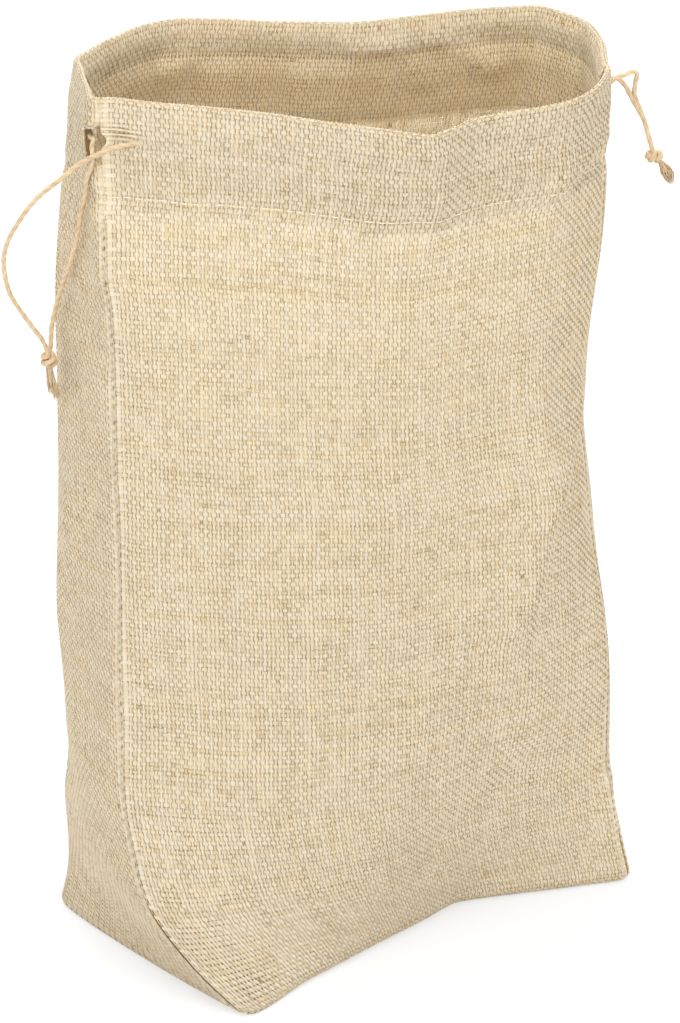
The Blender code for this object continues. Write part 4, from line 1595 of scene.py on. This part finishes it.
LEFT_SPREAD = (1.1, 1.3, 1.5, 1.7, 1.9)
LEFT_CORD = CordPlan(
    body=Body.LEFT, run_node="left_cord_run", run_seed=60, drop=(0.0290, 0.0178),
    front_first=True,
    ends=(
        CordEnd("left_cord_front_end", True, (
            (0.0323, 0.0288, -0.0006), (0.0240, 0.0300, 0.0022), (0.0120, 0.0325, 0.0030),
            (0.0000, 0.0358, 0.0038), (-0.0125, 0.0420, 0.0058)), (
            (-0.0269, -0.0087, -0.0181), (-0.0441, -0.0067, -0.0337), (-0.0562, -0.0027, -0.0515),
            (-0.0637, 0.0003, -0.0661), (-0.0672, 0.0053, -0.0812), (-0.0667, 0.0103, -0.0985),
            (-0.0635, 0.0153, -0.1130), (-0.0574, 0.0193, -0.1257), (-0.0506, 0.0223, -0.1381),
            (-0.0443, 0.0263, -0.1497), (-0.0419, 0.0288, -0.1582), (-0.0412, 0.0300, -0.1640))),
        CordEnd("left_cord_back_end", False, (
            (-0.0110, 0.0345, -0.0020), (-0.0085, 0.0395, 0.0014), (-0.0095, 0.0455, 0.0026),
            (-0.0147, 0.0541, 0.0026), (-0.0252, 0.0712, 0.0024)), (
            (-0.0152, 0.0133, -0.0514), (-0.0185, 0.0168, -0.0694), (-0.0240, 0.0233, -0.0902),
            (-0.0305, 0.0318, -0.1110), (-0.0352, 0.0382, -0.1280), (-0.0387, 0.0385, -0.1430),
            (-0.0400, 0.0355, -0.1582), (-0.0408, 0.0325, -0.1640)))),
    knot_node="left_knot", knot=(-0.0410, 0.0313, -0.1658), knot_size=(0.0120, 0.0115, 0.0125),
    knot_axis=(0.35, 0.25, -1.0), knot_turns=2.6, knot_seed=81,
    tails=(
        CordTail("left_front_tail", (
            (-0.0402, 0.0285, -0.1685), (-0.0394, 0.0272, -0.1750), (-0.0383, 0.0266, -0.1810),
            (-0.0368, 0.0260, -0.1875), (-0.0352, 0.0258, -0.1945)), LEFT_SPREAD,
                 spacing=0.0009, fibres=90, tone=0.38, seed=90),
        CordTail("left_back_tail", (
            (-0.0414, 0.0325, -0.1685), (-0.0414, 0.0326, -0.1745), (-0.0409, 0.0328, -0.1800),
            (-0.0399, 0.0330, -0.1870), (-0.0390, 0.0332, -0.1935)), LEFT_SPREAD,
                 spacing=0.0009, fibres=90, tone=0.38, seed=91)))
RIGHT_CORD = CordPlan(
    body=Body.RIGHT, run_node="right_cord_run", run_seed=70, drop=(0.0150, 0.0130),
    front_first=False,
    ends=(
        CordEnd("right_cord_front_end", False, ((-0.0030, 0.0105, 0.0010),), (
            (0.0040, 0.0000, 0.0050), (0.0095, 0.0015, 0.0062), (0.0142, 0.0033, 0.0078),
            (0.0172, 0.0050, 0.0062), (0.0168, 0.0062, -0.0010), (0.0163, 0.0067, -0.0090),
            (0.0186, 0.0080, -0.0160), (0.0215, 0.0084, -0.0235), (0.0246, 0.0072, -0.0320),
            (0.0270, 0.0056, -0.0400), (0.0290, 0.0054, -0.0470), (0.0300, 0.0062, -0.0525))),
        CordEnd("right_cord_back_end", True, ((0.0085, 0.0128, 0.0006),), (
            (0.0046, 0.0078, 0.0012), (0.0096, 0.0072, -0.0030), (0.0129, 0.0062, -0.0085),
            (0.0162, 0.0048, -0.0145), (0.0202, 0.0052, -0.0215), (0.0240, 0.0066, -0.0290),
            (0.0262, 0.0082, -0.0372), (0.0283, 0.0084, -0.0450), (0.0305, 0.0070, -0.0525)))),
    knot_node="right_knot", knot=(0.0309, 0.0067, -0.0539), knot_size=(0.0130, 0.0110, 0.0104),
    knot_axis=(0.75, 0.10, -0.45), knot_turns=3.1, knot_seed=80,
    tails=(
        CordTail("right_tail", (
            (0.0335, 0.0067, -0.0560), (0.0360, 0.0067, -0.0592), (0.0380, 0.0067, -0.0622),
            (0.0400, 0.0067, -0.0656), (0.0416, 0.0067, -0.0692), (0.0428, 0.0067, -0.0726),
            (0.0432, 0.0067, -0.0744)), (0.9, 1.0, 1.7, 2.4, 2.8, 2.4, 1.3),
                 spacing=0.0007, fibres=170, tone=0.44, seed=95),))


@dataclass
class Drawcords:
    """The two jute cords: their runs in the casing, free ends, knots and tails."""

    sack: Sack
    diameter: float = 0.0034
    clearance: float = 0.0004
    lead: float = 0.006
    waves: int = 3
    sag: float = 0.005
    run_depth: float = 0.0043
    run_sides: int = 10
    run_spacing: float = 0.0016
    spacing: float = 0.0007
    knot_strand: float = 0.0040
    end_seed: int = 100

    def mouth(self, slit: Slit) -> Array:
        """Middle of a slit, on the outside of the cloth."""
        return self.sack.form.under_rim([slit.seam], slit.drop, 0.0)[0]

    def run(self, first: float, last: float, drop: tuple[float, float]) -> Array:
        """Route of a cord inside the casing, between two places round the bag.

        Its drop below the rim goes from one seam's to the other's as half a cosine, and
        sags between them by whole cosine waves.

        Args:
            first: place where it starts.
            last: place where it ends.
            drop: drop at the left seam and at the right one.

        Returns:
            The points.
        """
        form = self.sack.form
        places = np.linspace(first, last, 400)
        spots = places % form.round
        halves = np.where(spots <= form.right_seam, spots / form.right_seam,
                          (form.round - spots) / (form.round - form.right_seam))
        drops = drop[0] + (drop[1] - drop[0]) * 0.5 * (1.0 - np.cos(np.pi * halves))
        drops = drops + self.sag * 0.5 * (1.0 - np.cos(2.0 * np.pi * self.waves * halves))
        return form.under_rim(places, drops, self.run_depth)

    def free_end(self, slit: Slit, run: Array, end: CordEnd) -> Array:
        """Route of a free end, from where its run stops, out of the slit, to its knot.

        Args:
            slit: the slit that it comes out of.
            run: the run's points.
            end: the free end.

        Returns:
            Evenly spaced points.
        """
        run = run[::-1] if end.at_start else run
        ahead = unit(run[-1] - run[-2])
        on_cloth = [self.sack.form.under_rim([slit.seam + place], drop, -outward)
                    for place, drop, outward in end.lie]
        points = np.vstack([run[-1] + ahead * self.clearance, run[-1] + ahead * self.diameter,
                            *on_cloth, self.mouth(slit) + np.array(end.route)])
        return smooth_route(points, self.spacing)

    def build(self, finish: bpy.types.Material) -> None:
        """Make both cords: their runs are set on the bag, their knots and tails on their own
        bodies, and their free ends on no body.

        Args:
            finish: the jute.
        """
        for plan, slit in ((LEFT_CORD, self.sack.left), (RIGHT_CORD, self.sack.right)):
            start, stop = slit.cord_front, slit.cord_back
            if not plan.front_first:
                start, stop = stop, start
            run = self.run(slit.seam + start + self.lead,
                           slit.seam + self.sack.form.round - stop - self.lead, plan.drop)
            self.lay_run(plan, run, finish)
            self.tie(plan, slit, run, finish)

    def lay_run(self, plan: CordPlan, run: Array, finish: bpy.types.Material) -> None:
        """Make the part of a cord that lies in the casing.

        Args:
            plan: the cord.
            run: the run's points.
            finish: the jute.
        """
        surface = Surface()
        TwistedCord(smooth_route(run, self.run_spacing), self.diameter, sides=self.run_sides,
                    ridge=0.0, seed=plan.run_seed).add_to(surface)
        set_on(surface.build(plan.run_node + "_twine", finish), plan.run_node, Slot.TWINE, Body.BAG)

    def tie(self, plan: CordPlan, slit: Slit, run: Array, finish: bpy.types.Material) -> None:
        """Args:
            plan: the cord.
            slit: the slit that the ends come out of.
            run: the run's points.
            finish: the jute.
        """
        mouth = self.mouth(slit)
        place = mouth + np.array(plan.knot)
        knot = OverhandKnot(place, plan.knot_size, self.knot_strand, plan.knot_axis,
                            plan.knot_turns, plan.knot_seed)
        parts: list[tuple[str, OverhandKnot | FibreTuft]] = [(plan.knot_node, knot)]
        for tail in plan.tails:
            path = smooth_route(mouth + np.array(tail.route), tail.spacing)
            parts.append((tail.node, FibreTuft(path, tail.spread, fibres=tail.fibres,
                                               tone=tail.tone, seed=tail.seed)))
        tied = []
        for node, part in parts:
            surface = Surface()
            part.add_to(surface)
            tied.append(surface.build(node + "_twine", finish))
            set_on(tied[-1], node, Slot.TWINE, plan.body)
        for number, end in enumerate(plan.ends):
            path = self.free_end(slit, run, end)
            surface = Surface()
            TwistedCord(path, self.diameter, seed=self.end_seed + number).add_to(surface)
            piece = surface.build(end.node + "_twine", finish)
            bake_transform(piece)
            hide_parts(end.node)
            length = float(path_lengths(path)[-1])
            LOG.info("%s: %.3f m long", piece.name, length)


@dataclass
class Studio:
    """Floor, light and camera."""

    lens: float = 158.36
    camera_place: Point = (-0.00475, -2.80703, 1.68814)
    target: Point = (-0.00475, -0.01627, 0.327)
    sky: float = 0.85
    floor_size: float = 30.0
    floor_colour: Point = (0.93, 0.93, 0.93)
    floor_height: float = -0.0004
    floor_glow: float = 0.6
    aim: Point = (0.0, 0.0, 0.35)
    lamps: tuple[tuple[str, Point, float, float], ...] = (
        ("key", (-1.5, -2.5, 2.1), 1.8, 19.0), ("fill", (1.5, -2.5, 2.0), 1.8, 14.5),
        ("top", (0.0, -0.6, 2.6), 1.2, 19.0), ("back", (0.0, 2.0, 2.2), 1.8, 50.0))

    def build(self) -> None:
        """Set the stage."""
        self.camera()
        self.floor()
        self.world()
        for lamp in self.lamps:
            self.lamp(*lamp)

    def camera(self) -> None:
        """Camera at the photograph's place, with its long lens."""
        data = bpy.data.cameras.new("camera")
        data.lens = self.lens
        data.sensor_fit = "AUTO"
        data.sensor_width = 36.0
        camera = bpy.data.objects.new("camera", data)
        camera.location = self.camera_place
        way = Vector(self.target) - Vector(self.camera_place)
        camera.rotation_euler = way.to_track_quat("-Z", "Y").to_euler()
        bpy.context.scene.collection.objects.link(camera)
        bpy.context.scene.camera = camera

    def floor(self) -> None:
        """Plain pale floor that glows in part for the camera alone, so it stays white."""
        reach = np.linspace(-0.5 * self.floor_size, 0.5 * self.floor_size, 2)
        points = np.array([(x, y, self.floor_height) for y in reach for x in reach])
        mesh = bpy.data.meshes.new("floor")
        mesh.from_pydata(points.tolist(), [], [(0, 1, 3, 2)])
        material = bpy.data.materials.new("studio_floor")
        material.use_nodes = True
        tree = material.node_tree
        shader = tree.nodes["Principled BSDF"]
        shader.inputs["Base Color"].default_value = (*self.floor_colour, 1.0)
        shader.inputs["Roughness"].default_value = 1.0
        shader.inputs["Specular IOR Level"].default_value = 0.0
        glow = tree.nodes.new("ShaderNodeEmission")
        seen = tree.nodes.new("ShaderNodeLightPath")
        share = tree.nodes.new("ShaderNodeMath")
        share.operation = "MULTIPLY"
        share.inputs[1].default_value = self.floor_glow
        tree.links.new(seen.outputs["Is Camera Ray"], share.inputs[0])
        mix = tree.nodes.new("ShaderNodeMixShader")
        tree.links.new(share.outputs["Value"], mix.inputs["Fac"])
        tree.links.new(shader.outputs["BSDF"], mix.inputs[1])
        tree.links.new(glow.outputs["Emission"], mix.inputs[2])
        tree.links.new(mix.outputs["Shader"], tree.nodes["Material Output"].inputs["Surface"])
        mesh.materials.append(material)
        floor = bpy.data.objects.new("studio_floor", mesh)
        bpy.context.scene.collection.objects.link(floor)

    def world(self) -> None:
        """Even soft light from all round, which the camera sees as white."""
        world = bpy.data.worlds.new("studio")
        world.use_nodes = True
        tree = world.node_tree
        background = tree.nodes["Background"]
        background.inputs["Color"].default_value = (1.0, 1.0, 1.0, 1.0)
        seen = tree.nodes.new("ShaderNodeLightPath")
        level = tree.nodes.new("ShaderNodeMapRange")
        level.inputs["To Min"].default_value = self.sky
        level.inputs["To Max"].default_value = 1.0
        tree.links.new(seen.outputs["Is Camera Ray"], level.inputs["Value"])
        tree.links.new(level.outputs["Result"], background.inputs["Strength"])
        bpy.context.scene.world = world

    def lamp(self, name: str, place: Point, size: float, power: float) -> None:
        """Square soft lamp that faces the bag.

        Args:
            name: name of the lamp.
            place: its place.
            size: length of its side.
            power: its power in watts.
        """
        data = bpy.data.lights.new(name, "AREA")
        data.energy = power
        data.size = size
        lamp = bpy.data.objects.new(name, data)
        lamp.location = place
        way = Vector(self.aim) - Vector(place)
        lamp.rotation_euler = way.to_track_quat("-Z", "Y").to_euler()
        bpy.context.scene.collection.objects.link(lamp)


def main() -> None:
    """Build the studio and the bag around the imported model."""
    logging.basicConfig(level=logging.INFO, format="%(name)s %(message)s")
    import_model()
    scene = bpy.context.scene
    scene.view_settings.view_transform = "Standard"
    Studio().build()
    sack = Sack()
    Drawcords(sack).build(JUTE.material())
    sack.weave(HESSIAN.material())
    sack.stitch(THREAD.material())
    bpy.context.view_layer.update()


if __name__ == "__main__":
    main()
